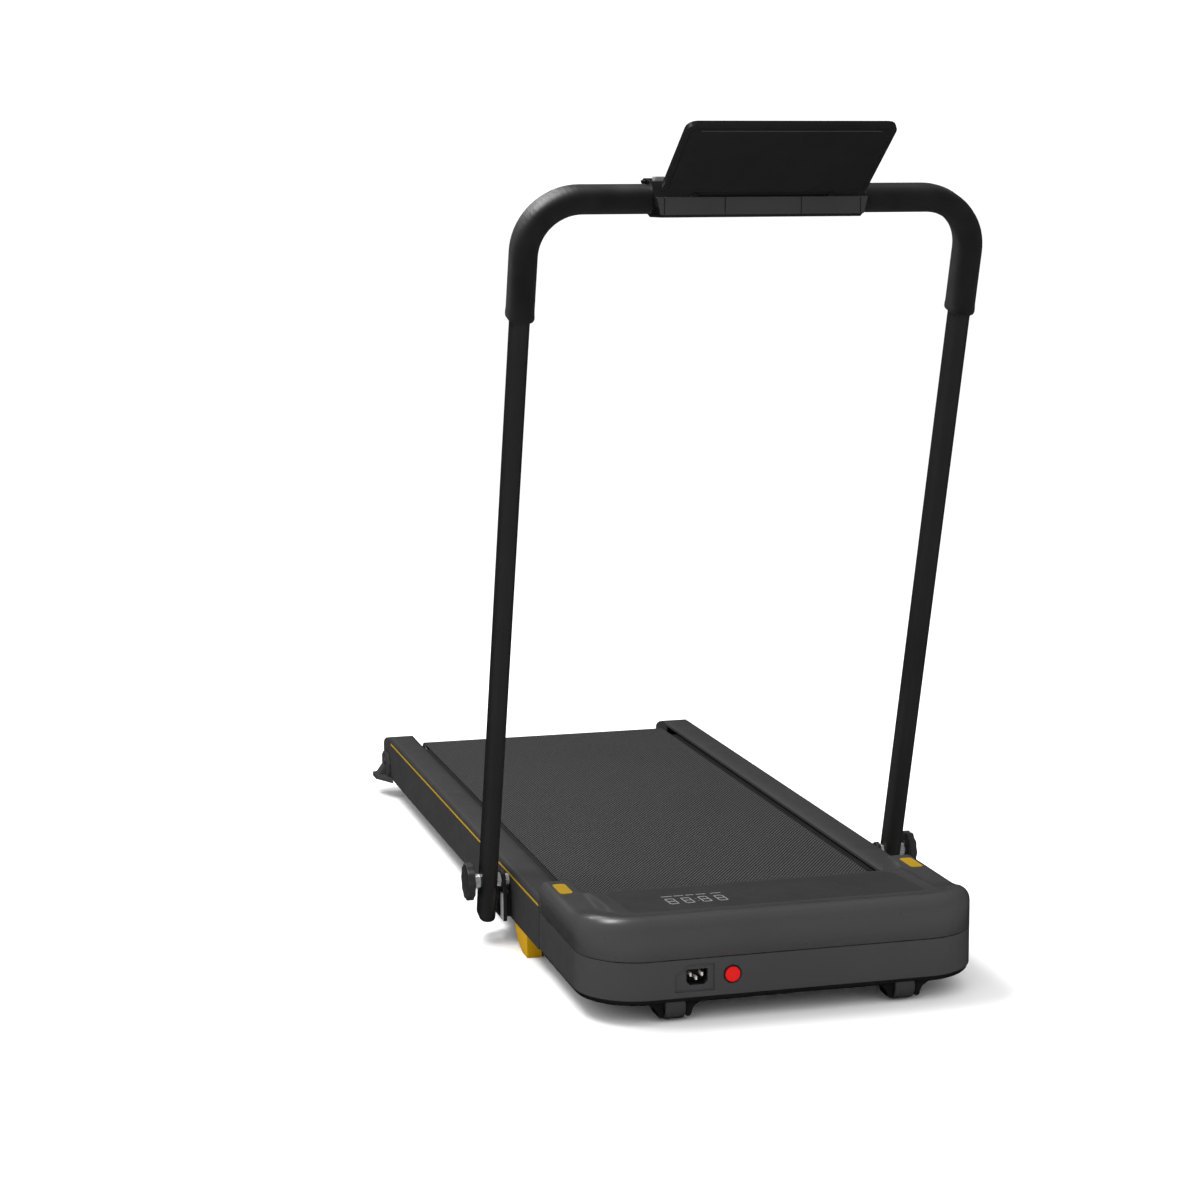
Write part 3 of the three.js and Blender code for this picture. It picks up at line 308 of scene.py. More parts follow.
def makeFinishes():
    steel = (0.62, 0.63, 0.64)
    fine = 0.006 * mm  # height of the finest moulded grain
    return {
        "shell": grainedFinish("hoodShell", (0.045, 0.045, 0.0453), 0.34, 1500, fine, spread=0.05),
        "topShell": grainedFinish("hoodTopShell", (0.050, 0.050, 0.0503), 0.31, 1500, fine, spread=0.05),
        "gloss": grainedFinish("smokedPlate", (0.010, 0.010, 0.0102), 0.34, 900, 0.008 * mm, level=0.3),
        "display": grainedFinish("displayWindow", (0.0385, 0.0385, 0.0388), 0.36, 1500, fine, spread=0.05),
        "pan": grainedFinish("panPlastic", (0.0075, 0.0075, 0.0077), 0.5, 1300, 0.03 * mm),
        "console": grainedFinish("consolePlastic", (0.036, 0.036, 0.0363), 0.5, 1400, 0.02 * mm),
        "yellow": grainedFinish("yellowPlastic", (0.34, 0.205, 0.004), 0.5, 1400, 0.04 * mm, 0.05, 0.2),
        "foot": grainedFinish("yellowRubber", (0.43, 0.235, 0.0008), 0.7, 900, 0.10 * mm, 0.06, 0.1),
        "rail": grainedFinish("railPlastic", (0.036, 0.036, 0.0363), 0.6, 1500, fine, spread=0.05, level=0.2),
        "wheel": grainedFinish("wheelRubber", (0.036, 0.036, 0.0365), 0.45, 1100, 0.08 * mm),
        "rubber": grainedFinish("mattRubber", (0.012, 0.012, 0.012), 0.7, 900, 0.12 * mm),
        "foam": foamFinish(),
        "knob": grainedFinish("knobPlastic", (0.026, 0.026, 0.0263), 0.5, 1200, 0.02 * mm),
        "belt": beltFinish(),
        "board": grainedFinish("coatedBoard", (0.004, 0.0038, 0.0036), 0.6, 420, 0.12 * mm, spread=0.25),
        "tube": grainedFinish("postCoat", (0.0145, 0.0147, 0.015), 0.36, 2200, 0.015 * mm, level=0.4),
        "frame": grainedFinish("frameCoat", (0.016, 0.016, 0.0165), 0.5, 1800, 0.08 * mm),
        "steel": drawnFinish("zincSteel", steel, 0.32, (1, 14, 14)),
        "chrome": drawnFinish("brightChrome", (0.92, 0.92, 0.93), 0.16, (1, 6, 6), 180, 0.000006, 0.55),
        "brass": drawnFinish("bladeMetal", (0.88, 0.86, 0.80), 0.35, (14, 1, 14), metallic=0.3),
        "motor": drawnFinish("motorCase", (0.30, 0.30, 0.31), 0.4, (14, 1, 1), 120),
        "circuit": grainedFinish("circuitBoard", (0.012, 0.09, 0.03), 0.45, 700, 0.10 * mm, spread=0.3),
        "red": grainedFinish("redCap", (0.60, 0.004, 0.004), 0.3, 1500, 0.008 * mm, spread=0.05, level=0.2),
        "pale": paleFinish(),
    }


finishes = makeFinishes()
print("finishes ready:", len(finishes))


# making pieces
def newPiece(bm, name, finish, body, replaced=(), sharp=35.0, clean=True):
    if clean:
        bmesh.ops.remove_doubles(bm, verts=bm.verts, dist=2e-6)
        bmesh.ops.recalc_face_normals(bm, faces=bm.faces)
    mesh = bpy.data.meshes.new(name)
    bm.to_mesh(mesh)
    bm.free()
    mesh.materials.append(finishes[finish])
    mesh.shade_smooth()
    mesh.set_sharp_from_angle(angle=math.radians(sharp))
    piece = bpy.data.objects.new(name, mesh)
    bpy.context.scene.collection.objects.link(piece)
    if replaced:
        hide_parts(*replaced)
    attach(piece, body)
    return piece


def addBevel(piece, width, segments=3, angle=32.0):
    bevel = piece.modifiers.new("edges", "BEVEL")
    bevel.width = width
    bevel.segments = segments
    bevel.limit_method = "ANGLE"
    bevel.angle_limit = math.radians(angle)
    bevel.harden_normals = False


# a copy of a CAD solid with its flat faces made whole, so that its edges can be rounded
def mergedCopy(nodeName):
    bm = bmesh.new()
    bm.from_mesh(nodes[nodeName].data)
    bmesh.ops.remove_doubles(bm, verts=bm.verts, dist=2e-5)
    bmesh.ops.dissolve_limit(bm, angle_limit=math.radians(0.6), verts=bm.verts, edges=bm.edges)
    return bm


def softened(nodeName, finish, width, segments=3):
    bm, body = mergedCopy(nodeName), bodyOf[nodeName]
    made = newPiece(bm, nodeName + "_piece", finish, body, (nodeName,), clean=False)
    addBevel(made, width, segments)


def outlineFace(bm, points):
    return bm.faces.new([bm.verts.new(point) for point in points])


def pushFaces(bm, faces, push, keepFirst=False):
    pushed = bmesh.ops.extrude_face_region(bm, geom=faces, use_keep_orig=keepFirst)
    moved = [item for item in pushed["geom"] if isinstance(item, bmesh.types.BMVert)]
    bmesh.ops.translate(bm, verts=moved, vec=push)


# closed prism: an outline pushed along a direction
def prism(bm, points, push):
    pushFaces(bm, [outlineFace(bm, points)], push)


def blockAt(bm, low, high):
    size = Vector(high) - Vector(low)
    made = bmesh.ops.create_cube(bm, size=1)
    bmesh.ops.scale(bm, vec=size, verts=made["verts"])
    bmesh.ops.translate(bm, vec=(Vector(high) + Vector(low)) / 2, verts=made["verts"])
    return made["verts"]


# turns an outline of (radius, along) about an axis through centre
def turnedShape(bm, outline, centre, axis="X", steps=48):
    before = set(bm.verts)
    points = [bm.verts.new((along, 0, radius)) for radius, along in outline]
    edges = [bm.edges.new(pair) for pair in zip(points, points[1:])]
    if min(outline[0][0], outline[-1][0]) > 0:
        edges.append(bm.edges.new((points[-1], points[0])))
    bmesh.ops.spin(bm, geom=points + edges, cent=(0, 0, 0), axis=(1, 0, 0), angle=2 * math.pi,
                   steps=steps, use_merge=True)
    verts = [vert for vert in bm.verts if vert not in before]
    if axis == "Y":
        bmesh.ops.rotate(bm, verts=verts, cent=(0, 0, 0), matrix=Matrix.Rotation(quarter, 3, "Z"))
    if axis == "Z":
        bmesh.ops.rotate(bm, verts=verts, cent=(0, 0, 0), matrix=Matrix.Rotation(-quarter, 3, "Y"))
    bmesh.ops.translate(bm, verts=verts, vec=centre)
    return verts


# closed solid through outlines of the same point count, one after another
def stacked(bm, outlines, capped=True):
    first = outlineFace(bm, outlines[0])
    face = first
    for before, after in zip(outlines, outlines[1:]):
        moves = {tuple(round(value, 7) for value in old): new for old, new in zip(before, after)}
        pushed = bmesh.ops.extrude_face_region(bm, geom=[face])
        for item in pushed["geom"]:
            if isinstance(item, bmesh.types.BMVert):
                near = min(moves, key=lambda place: (Vector(place) - item.co).length_squared)
                item.co = moves[near]
            elif isinstance(item, bmesh.types.BMFace):
                face = item
    if not capped:
        bmesh.ops.delete(bm, geom=[first, face], context="FACES_ONLY")


def circleOf(radius, count, u=0.0, v=0.0, start=0.0):
    return [(u + radius * math.cos(start + 2 * math.pi * i / count),
             v + radius * math.sin(start + 2 * math.pi * i / count)) for i in range(count)]


def arcOf(u, v, radius, start, end, steps):
    return [(u + radius * math.cos(start + (end - start) * i / steps),
             v + radius * math.sin(start + (end - start) * i / steps)) for i in range(steps + 1)]


def roundedOutline(u, v, halfU, halfV, radius, steps=8):
    points = []
    for k, (su, sv) in enumerate([(1, 1), (-1, 1), (-1, -1), (1, -1)]):
        points += arcOf(u + su * (halfU - radius), v + sv * (halfV - radius), radius,
                        k * quarter, (k + 1) * quarter, steps)
    return points


def smooth(value, low, high):
    t = max(0.0, min(1.0, (value - low) / (high - low)))
    return t * t * (3 - 2 * t)


# cuts a tool's shape out of a piece, and keeps the result as the piece's own mesh
def carve(piece, tool):
    boolean = piece.modifiers.new("cut", "BOOLEAN")
    boolean.object = tool
    boolean.operation = "DIFFERENCE"
    boolean.solver = "EXACT"
    depsgraph = bpy.context.evaluated_depsgraph_get()
    depsgraph.update()
    carved = bpy.data.meshes.new_from_object(piece.evaluated_get(depsgraph))
    piece.modifiers.clear()
    piece.data = carved
    bpy.data.objects.remove(tool)
    carved.shade_smooth()
    carved.set_sharp_from_angle(angle=math.radians(35))


def toolFrom(bm):
    bmesh.ops.remove_doubles(bm, verts=bm.verts, dist=1e-6)
    bmesh.ops.recalc_face_normals(bm, faces=bm.faces)
    mesh = bpy.data.meshes.new("cutter")
    bm.to_mesh(mesh)
    bm.free()
    tool = bpy.data.objects.new("cutter", mesh)
    bpy.context.scene.collection.objects.link(tool)
    return tool


# hood
coverLow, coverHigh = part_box("hood_cover")
shellLow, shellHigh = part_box("lower_shell")
hood = {
    "half": coverHigh.x,
    "corner": 75 * mm,
    "frontRound": 18 * mm,
    "sideRound": 11 * mm,
    "top": coverHigh.z,
    "topFall": 0.061,
    "shoulderTop": 115.5 * mm,
    "shoulderWide": (37 * mm, 46 * mm),  # where its inner wall starts and ends
    "backLong": 65 * mm,
    "backFall": 0.38,
    "dish": 1.3 * mm,
    "wall": 2.6 * mm,
    "frontSteps": 28,
    "cornerSteps": 20,
    "sideSteps": 26,
    "doorTop": 89 * mm,
    "seam": 0.35 * mm,       # cut back on both sides, so that the line reads
}
# mm in from the hood's outline, closer together where its surface bends
hoodBands = [0, 0.5, 1.4, 2.8, 4.6, 6.8, 9.2, 11.8, 14.6, 17.4, 20, 23, 27, 31, 34, 36,
             38, 40, 42, 44, 46, 49]


# one side of the hood's plan outline, from the middle of the front to the back
def hoodSide(inset):
    half = hood["half"] - inset
    corner = hood["corner"] - inset
    straight = half - corner
    front = coverLow.y + inset
    points = [(straight * i / hood["frontSteps"], front) for i in range(hood["frontSteps"])]
    points += arcOf(straight, front + corner, corner, -quarter, 0, hood["cornerSteps"])
    sideFrom = front + corner
    sideLong = coverHigh.y - sideFrom
    points += [(half, sideFrom + sideLong * i / hood["sideSteps"]) for i in range(1, hood["sideSteps"] + 1)]
    return points


def hoodInset(x, y):
    alongX = abs(x) - (hood["half"] - hood["corner"])
    alongY = coverLow.y + hood["corner"] - y
    if alongX > 0 and alongY > 0:
        return hood["corner"] - math.hypot(alongX, alongY)
    return min(hood["half"] - abs(x), y - coverLow.y)


def quarterRound(inset, radius):
    left = min(radius, max(0.0, radius - inset))
    return math.sqrt(radius * radius - left * left) - radius


def hoodHeight(x, y):
    inset = hoodInset(x, y)
    depth = y - coverLow.y
    backFrom = coverHigh.y - hood["backLong"]
    ease = 9 * mm  # softens the edge where the back starts to fall
    past = y - backFrom
    if past > ease:
        back = past
    elif past > -ease:
        back = (past + ease) ** 2 / (4 * ease)
    else:
        back = 0
    panel = hood["top"] - hood["topFall"] * max(0.0, depth - 20 * mm)
    panel -= (hood["backFall"] - hood["topFall"]) * back
    dish = hood["dish"] * smooth(inset, hood["frontRound"], 34 * mm)
    front = panel + quarterRound(inset, hood["frontRound"]) - dish
    wallFrom, wallTo = hood["shoulderWide"]
    rise = smooth(inset, wallFrom, wallTo)
    shoulder = hood["shoulderTop"] + quarterRound(inset, hood["sideRound"])
    innerDish = hood["dish"] * smooth(inset, wallTo, wallTo + 14 * mm)
    side = shoulder * (1 - rise) + (panel - innerDish) * rise
    blend = smooth(depth, 48 * mm, 112 * mm)
    return front * (1 - blend) + side * blend


# a new grid's vertices, row by row
def gridOf(bm, columns, rows):
    made = bmesh.ops.create_grid(bm, x_segments=columns - 1, y_segments=rows - 1, size=0.5)
    return sorted(made["verts"], key=lambda v: (round(v.co.y, 6), round(v.co.x, 6)))


def makeHoodCover():
    bm = bmesh.new()
    bands = [band * mm for band in hoodBands]
    halves = [hoodSide(band) for band in bands]
    columns = 2 * len(halves[0]) - 1
    # the grid's columns run along the outline from one back corner to the other, its rows inwards
    for index, vert in enumerate(gridOf(bm, columns, len(bands))):
        row, column = divmod(index, columns)
        offset = column - (len(halves[0]) - 1)
        x, y = halves[row][abs(offset)]
        vert.co = (math.copysign(x, offset), y, 0)
    # middle: rows across, joining the same point on both sides
    inner = halves[-1]
    across = 2 * hood["frontSteps"]
    sidePoints = inner[hood["frontSteps"]:]
    for index, vert in enumerate(gridOf(bm, across + 1, len(sidePoints))):
        row, column = divmod(index, across + 1)
        x, y = sidePoints[row]
        vert.co = (x * (column - hood["frontSteps"]) / hood["frontSteps"], y, 0)
    bmesh.ops.remove_doubles(bm, verts=bm.verts, dist=1e-6)
    for vert in bm.verts:
        vert.co.z = hoodHeight(vert.co.x, vert.co.y)
    rim = [edge for edge in bm.edges if edge.is_boundary]
    shoulderFrom = hood["half"] - hood["shoulderWide"][1] - 0.5 * mm
    for step in ("ease", "foot"):  # the first short step keeps the fillet's shading off the flat side
        skirt = bmesh.ops.extrude_edge_only(bm, edges=rim)["geom"]
        lower = {item for item in skirt if isinstance(item, bmesh.types.BMVert)}
        rim = [item for item in skirt if isinstance(item, bmesh.types.BMEdge) and set(item.verts) <= lower]
        for vert in lower:
            atBack = vert.co.y > coverHigh.y - 1e-5 and abs(vert.co.x) < shoulderFrom
            bottom = hood["doorTop"] if atBack else coverLow.z + hood["seam"]
            vert.co.z = bottom if step == "foot" else vert.co.z - min(1.2 * mm, (vert.co.z - bottom) / 2)
    for face in bm.faces:
        face.normal_update()
    bmesh.ops.recalc_face_normals(bm, faces=bm.faces)
    up = max(bm.faces, key=lambda face: face.calc_center_median().z)
    if up.normal.z < 0:
        bmesh.ops.reverse_faces(bm, faces=bm.faces)
    cover = newPiece(bm, "hoodCover", "topShell", "base", ("hood_cover",), sharp=40, clean=False)
    wall = cover.modifiers.new("wall", "SOLIDIFY")
    wall.thickness = hood["wall"]
    wall.offset = -1


makeHoodCover()
print("hood cover made")


# a thin plate that follows the hood's surface
def layPlate(name, finish, replaced, centre, halves, radius, lift, thick, segments):
    bm = bmesh.new()
    made = bmesh.ops.create_grid(bm, x_segments=segments[0], y_segments=segments[1], size=1)
    for vert in made["verts"]:
        u, v = vert.co.x * halves[0], vert.co.y * halves[1]
        pastU, pastV = abs(u) - (halves[0] - radius), abs(v) - (halves[1] - radius)
        if pastU > 0 and pastV > 0:
            reach = math.hypot(pastU, pastV)
            share = max(pastU, pastV) / reach
            u = math.copysign(halves[0] - radius + pastU * share, u)
            v = math.copysign(halves[1] - radius + pastV * share, v)
        x, y = centre[0] + u, centre[1] + v
        vert.co = (x, y, hoodHeight(x, y) + lift)
    pushFaces(bm, list(bm.faces), (0, 0, -thick))
    newPiece(bm, name, finish, "base", replaced, sharp=30)


insert = {"halves": (8.2 * mm, 22.5 * mm), "radius": 5 * mm, "lift": 0.45 * mm, "thick": 2 * mm}
for side in ("left", "right"):
    low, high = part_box("shoulder_insert_" + side)
    layPlate("shoulderInsert_" + side, "yellow", ("shoulder_insert_" + side,),
             ((low.x + high.x) / 2, (low.y + high.y) / 2), insert["halves"], insert["radius"],
             insert["lift"], insert["thick"], (12, 16))

display = {
    "radius": 14 * mm,
    "lift": 0.12 * mm,
    "thick": 1.5 * mm,
    "rowNear": 75.6 * mm,      # from the hood's front
    "rowFar": 105 * mm,
    "firstDigit": -128 * mm,
    "digitStep": 20.0 * mm,
    "digitWide": 11.4 * mm,
    "stroke": 1.3 * mm,
    "strokeDeep": 2.6 * mm,
    "gap": 0.5 * mm,
    "glowThick": 0.25 * mm,
    "legendAt": 116.5 * mm,
    "legendDeep": 2.4 * mm,
    "legendMarks": [(-128, 14), (-112, 12), (-97, 10), (-84, 12), (-66, 13)],
}
panelLow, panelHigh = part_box("display_panel")
panelHalves = ((panelHigh.x - panelLow.x) / 2, (panelHigh.y - panelLow.y) / 2)
layPlate("displayWindow", "display", ("display_panel",), (0, (panelHigh.y + panelLow.y) / 2),
         panelHalves, display["radius"], display["lift"], display["thick"], (90, 40))


# one flat mark on the display, given its two corners in the hood's plan
def displayMark(bm, x0, x1, y0, y1):
    middle = hoodHeight((x0 + x1) / 2, hoodFront + (y0 + y1) / 2) + display["lift"] + 0.02 * mm
    fall = hood["topFall"]
    verts = blockAt(bm, (x0, hoodFront + y0, middle - 0.1 * mm),
                    (x1, hoodFront + y1, middle + display["glowThick"]))
    for vert in verts:
        vert.co.z -= fall * (vert.co.y - hoodFront - (y0 + y1) / 2)


def makeDigits():
    bm = bmesh.new()
    wide, stroke, deep, gap = display["digitWide"], display["stroke"], display["strokeDeep"], display["gap"]
    near, far = display["rowNear"], display["rowFar"]
    half = (near + far) / 2
    for place in range(4):
        x0 = display["firstDigit"] + place * display["digitStep"] + (1.5 * mm if place > 1 else 0)
        x1 = x0 + wide
        for level in (near, half - deep / 2, far - deep):
            displayMark(bm, x0 + stroke * 0.8, x1 - stroke * 0.8, level, level + deep)
        for start, end in ((near + deep * 0.6, half - gap), (half + gap, far - deep * 0.6)):
            for left in (x0, x1 - stroke):
                displayMark(bm, left, left + stroke, start, end)
    colonAt = display["firstDigit"] + 2 * display["digitStep"] - 3.4 * mm
    for level in (near + 8 * mm, far - 10 * mm):
        displayMark(bm, colonAt, colonAt + stroke, level, level + stroke)
    for start, long in display["legendMarks"]:
        displayMark(bm, start * mm, (start + long) * mm, display["legendAt"],
                    display["legendAt"] + display["legendDeep"])
    newPiece(bm, "displayDigits", "pale", "base", clean=False)


makeDigits()
print("display made")


# lower shell, power inlet and button
def hoodLoop(inset, z):
    side = hoodSide(inset)
    half = [(x, y, z) for x, y in side]
    return [(-x, y, z) for x, y, z in reversed(half[1:])] + half


inletLow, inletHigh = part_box("power_inlet")
bezelLow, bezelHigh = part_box("button_bezel")
inlet = {
    "x": (inletLow.x + inletHigh.x) / 2,
    "z": (inletLow.z + inletHigh.z) / 2,
    "wall": 3 * mm,
    "clear": 0.3 * mm,
    "recessDeep": 2.0 * mm,
    "recessOutline": [(-27, -17), (21, -17), (21, 15.6), (-11, 15.6), (-27, 3)],  # from the inlet's middle
    "mouthHalf": (12.7 * mm, 9.2 * mm),
    "mouthCut": 4.2 * mm,
    "mouthDeep": 18 * mm,
}
button = {
    "x": (bezelLow.x + bezelHigh.x) / 2,
    "z": (bezelLow.z + bezelHigh.z) / 2,
    "bezelRadius": 10.7 * mm,
    "capRadius": 9.2 * mm,
    "dome": 1.7 * mm,
}


cutAhead = 5 * mm     # the cutters start this far before the hood's front
cutThrough = 14 * mm


def makeLowerShell():
    bm = bmesh.new()
    outer = hoodLoop(0, shellLow.z)
    inner = hoodLoop(inlet["wall"], shellLow.z)
    outline = outer + list(reversed([(x, min(y, shellHigh.y), z) for x, y, z in inner]))
    prism(bm, outline, (0, 0, shellHigh.z - hood["seam"] - shellLow.z))
    shell = newPiece(bm, "lowerShell", "shell", "base", ("lower_shell",), sharp=40)
    for cutter in (recessTool(), bodyTool(), buttonTool()):
        carve(shell, cutter)
    addBevel(shell, 0.5 * mm, 2, 50)


def recessTool():
    bm = bmesh.new()
    front = hoodFront - cutAhead
    points = [(inlet["x"] + x * mm, front, inlet["z"] + z * mm) for x, z in inlet["recessOutline"]]
    prism(bm, points, (0, cutAhead + inlet["recessDeep"], 0))
    return toolFrom(bm)


def mouthPoints(grow, y):
    u, v = inlet["mouthHalf"][0] + grow, inlet["mouthHalf"][1] + grow
    cut = inlet["mouthCut"]
    mouth = [(-u, v), (-u, cut - v), (cut - u, -v), (u - cut, -v), (u, cut - v), (u, v)]
    return [(inlet["x"] + x, y, inlet["z"] + z) for x, z in mouth]


def bodyTool():
    bm = bmesh.new()
    prism(bm, mouthPoints(inlet["clear"], hoodFront - cutAhead), (0, cutThrough, 0))
    return toolFrom(bm)


def buttonTool():
    bm = bmesh.new()
    outline = circleOf(button["bezelRadius"] + inlet["clear"], 48, button["x"], button["z"])
    prism(bm, [(x, hoodFront - cutAhead, z) for x, z in outline], (0, cutThrough, 0))
    return toolFrom(bm)


# the inlet's own insulating body, its mouth cut off at the two lower corners
def makeInlet():
    bm = bmesh.new()
    half = (inletHigh.x - inletLow.x) / 2, (inletHigh.z - inletLow.z) / 2
    outline = roundedOutline(inlet["x"], inlet["z"], half[0], half[1], 3 * mm, 5)
    back = hoodFront + inlet["wall"] + 0.1 * mm
    prism(bm, [(x, back, z) for x, z in outline], (0, inletHigh.y - back, 0))
    body = newPiece(bm, "inletBody", "rubber", "base", ("power_inlet",))
    bm = bmesh.new()
    prism(bm, mouthPoints(0, hoodFront - 4 * mm), (0, 4 * mm + inlet["mouthDeep"], 0))
    carve(body, toolFrom(bm))
    addBevel(body, 0.45 * mm, 3, 30)


def makeButton():
    bm = bmesh.new()
    outer, cap = button["bezelRadius"], button["capRadius"] + 0.2 * mm
    front, back = bezelLow.y, bezelHigh.y
    rounding = [(outer - 0.9 * mm + 0.9 * mm * math.sin(angle), front + 0.9 * mm * (1 - math.cos(angle)))
                for angle in (0, 0.5, 1.0, quarter)]
    outline = [(cap, front + 0.7 * mm), (cap + 0.4 * mm, front + 0.1 * mm)] + rounding
    outline += [(outer, back), (cap, back)]
    turnedShape(bm, outline, (button["x"], 0, button["z"]), "Y")
    newPiece(bm, "buttonBezel", "rubber", "base", ("button_bezel",), sharp=50)
    bm = bmesh.new()
    low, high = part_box("red_button")
    radius, dome = button["capRadius"], button["dome"]
    face = [(radius * math.sin(angle), low.y + dome * (1 - math.cos(angle)))
            for angle in [quarter * i / 10 for i in range(11)]]
    turnedShape(bm, face + [(radius, high.y), (0, high.y)], (button["x"], 0, button["z"]), "Y")
    newPiece(bm, "redButton", "red", "power_button", ("red_button",), sharp=50)


makeLowerShell()
makeInlet()
makeButton()
for nodeName in ("inlet_blade_line", "inlet_blade_neutral", "inlet_blade_earth"):
    softened(nodeName, "brass", 0.5 * mm, 2)
print("lower shell, inlet and button made")


# bottom pan and transport wheels
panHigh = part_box("bottom_pan")[1]
wheelLow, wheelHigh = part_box("transport_wheel_left")
pan = {
    "bottom": 23 * mm,
    "top": panHigh.z,
    "inset": 1.5 * mm,
    "round": 7 * mm,
    "wheelX": (wheelLow.x + wheelHigh.x) / 2,
    "wheelY": (wheelLow.y + wheelHigh.y) / 2,
    "wheelHalf": (wheelHigh.x - wheelLow.x) / 2,
    "wheelRadius": (wheelHigh.z - wheelLow.z) / 2,
    "earFrom": -12 * mm,      # fore and aft of the wheel's middle
    "earTo": 14 * mm,
}
# across from the wheel's side, up: a hook that comes down beside the wheel and curves back under the pan
earOutline = [(0.6, 26), (0.6, 8.4), (1.4, 6.2), (3.2, 5.1), (5.4, 5.2), (7.2, 6.4), (8.4, 8.6), (9.0, 11.4),
              (10.2, 14.6), (12.4, 17.6), (15.6, 20.0), (19.6, 21.9), (24.0, 23.6), (24.0, 26)]


def panOutline(inset, z):
    corner = 20 * mm - inset
    half, back = hood["half"] - inset, coverHigh.y - inset
    side = [point for point in hoodSide(inset) if point[1] < back - corner - 1 * mm]
    side += arcOf(half - corner, back - corner, corner, 0, quarter, 6)
    return [(-x, y, z) for x, y in reversed(side[1:])] + [(x, y, z) for x, y in side]


def makeBottomPan():
    bm = bmesh.new()
    loops = [panOutline(pan["inset"], pan["top"])]
    for i in range(7):
        angle = quarter * i / 6
        inset = pan["inset"] + (pan["round"] - 1.5 * mm) * (1 - math.cos(angle))
        loops.append(panOutline(inset, pan["top"] - 0.8 * mm - 6 * mm * math.sin(angle)))
    stacked(bm, loops)
    piece = newPiece(bm, "bottomPan", "pan", "base", ("bottom_pan",), sharp=40)
    for side in (1, -1):
        bm = bmesh.new()
        x, half = side * pan["wheelX"], pan["wheelHalf"] + 0.6 * mm
        blockAt(bm, (x - half, hoodFront + 2.4 * mm, pan["bottom"] - 4 * mm),
                (x + half, hoodFront + 40 * mm, pan["top"] + 4 * mm))
        carve(piece, toolFrom(bm))
    addBevel(piece, 0.6 * mm, 2, 50)
    for side, word in ((1, "left"), (-1, "right")):
        bm = bmesh.new()
        for away in (1, -1):
            points = [(side * pan["wheelX"] + away * (pan["wheelHalf"] + x * mm),
                       pan["wheelY"] + pan["earFrom"], z * mm) for x, z in earOutline]
            prism(bm, points, (0, pan["earTo"] - pan["earFrom"], 0))
        ears = newPiece(bm, "wheelEars_" + word, "pan", "base")
        addBevel(ears, 0.9 * mm, 3, 40)


def makeWheel(word):
    bm = bmesh.new()
    low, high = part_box("transport_wheel_" + word)
    half, radius = pan["wheelHalf"], pan["wheelRadius"]
    side = [(3.4, 0), (7.0, 0), (7.8, 0.5), (8.0, 1.6), (13.0, 1.6), (13.4, 0.5), (14.2, 0), (15.8, 0),
            (16.9, 0.4), (17.7, 1.2), (18.0, 2.4)]
    side = [(min(r * mm, radius), x * mm) for r, x in side]
    outline = [(r, x - half) for r, x in side] + [(r, half - x) for r, x in reversed(side)]
    middle = (low + high) / 2
    turnedShape(bm, outline, middle, "X", 56)
    newPiece(bm, "transportWheel_" + word, "wheel", "wheel_" + word, ("transport_wheel_" + word,), sharp=40)


makeBottomPan()
makeWheel("left")
makeWheel("right")
print("pan and wheels made")


# side rails
railLow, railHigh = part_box("side_rail_left")
stripeLow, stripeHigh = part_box("rail_stripe_left")
rail = {
    "outer": railHigh.x,
    "inner": railLow.x,
    "low": railLow.z,
    "top": railHigh.z,
    "round": 6 * mm,
    "wall": 3 * mm,
    "grooveDeep": 1.5 * mm,
    "grooveClear": 0.3 * mm,
    "lipWide": 12.6 * mm,
    # mm out from the inner edge and down from the top: the lip that rolls down beside the belt
    "lip": [(12.6, 0), (8, 0.5), (4, 1.5), (1.6, 2.4), (0.3, 3.4),
            (0, 4.4), (0, 7.2), (2.5, 7.2), (2.5, 4.8)],
}


def railOutline():
    outer, inner, top, wall = rail["outer"], rail["inner"], rail["top"], rail["wall"]
    grooveLow, grooveHigh = stripeLow.z - rail["grooveClear"], stripeHigh.z + rail["grooveClear"]
    points = [(outer, rail["low"]), (outer, grooveLow), (outer - rail["grooveDeep"], grooveLow),
              (outer - rail["grooveDeep"], grooveHigh), (outer, grooveHigh)]
    points += arcOf(outer - rail["round"], top - rail["round"], rail["round"], 0, quarter, 8)
    points += [(inner + x * mm, top - z * mm) for x, z in rail["lip"]]
    points += [(inner + rail["lipWide"], top - wall), (outer - 7 * mm, top - wall),
               (outer - wall, top - wall - 4 * mm), (outer - wall, rail["low"])]
    return points


for side, word in ((1, "left"), (-1, "right")):
    bm = bmesh.new()
    prism(bm, [(side * x, railLow.y, z) for x, z in railOutline()], (0, railHigh.y - railLow.y, 0))
    made = newPiece(bm, "sideRail_" + word, "rail", "base", ("side_rail_" + word,), sharp=32)
    addBevel(made, 0.35 * mm, 2, 40)
    softened("rail_stripe_" + word, "yellow", 0.4 * mm, 2)
    softened("rail_end_cap_" + word, "rail", 1.4 * mm, 3)
    softened("storage_foot_" + word, "rail", 0.9 * mm, 2)
    softened("front_foot_" + word, "foot", 2.2 * mm, 4)
    softened("adjuster_bolt_" + word, "steel", 0.4 * mm, 2)
    softened("rear_foot_" + word, "rubber", 1.5 * mm, 3)
    softened("frame_tube_" + word, "frame", 1.2 * mm, 2)
print("rails made")


# belt and rollers
beltLow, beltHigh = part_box("running_belt")
deck = {"beltThick": 2 * mm, "bandSteps": 40, "axleClear": 0.4 * mm, "rollerEdge": 1.2 * mm}


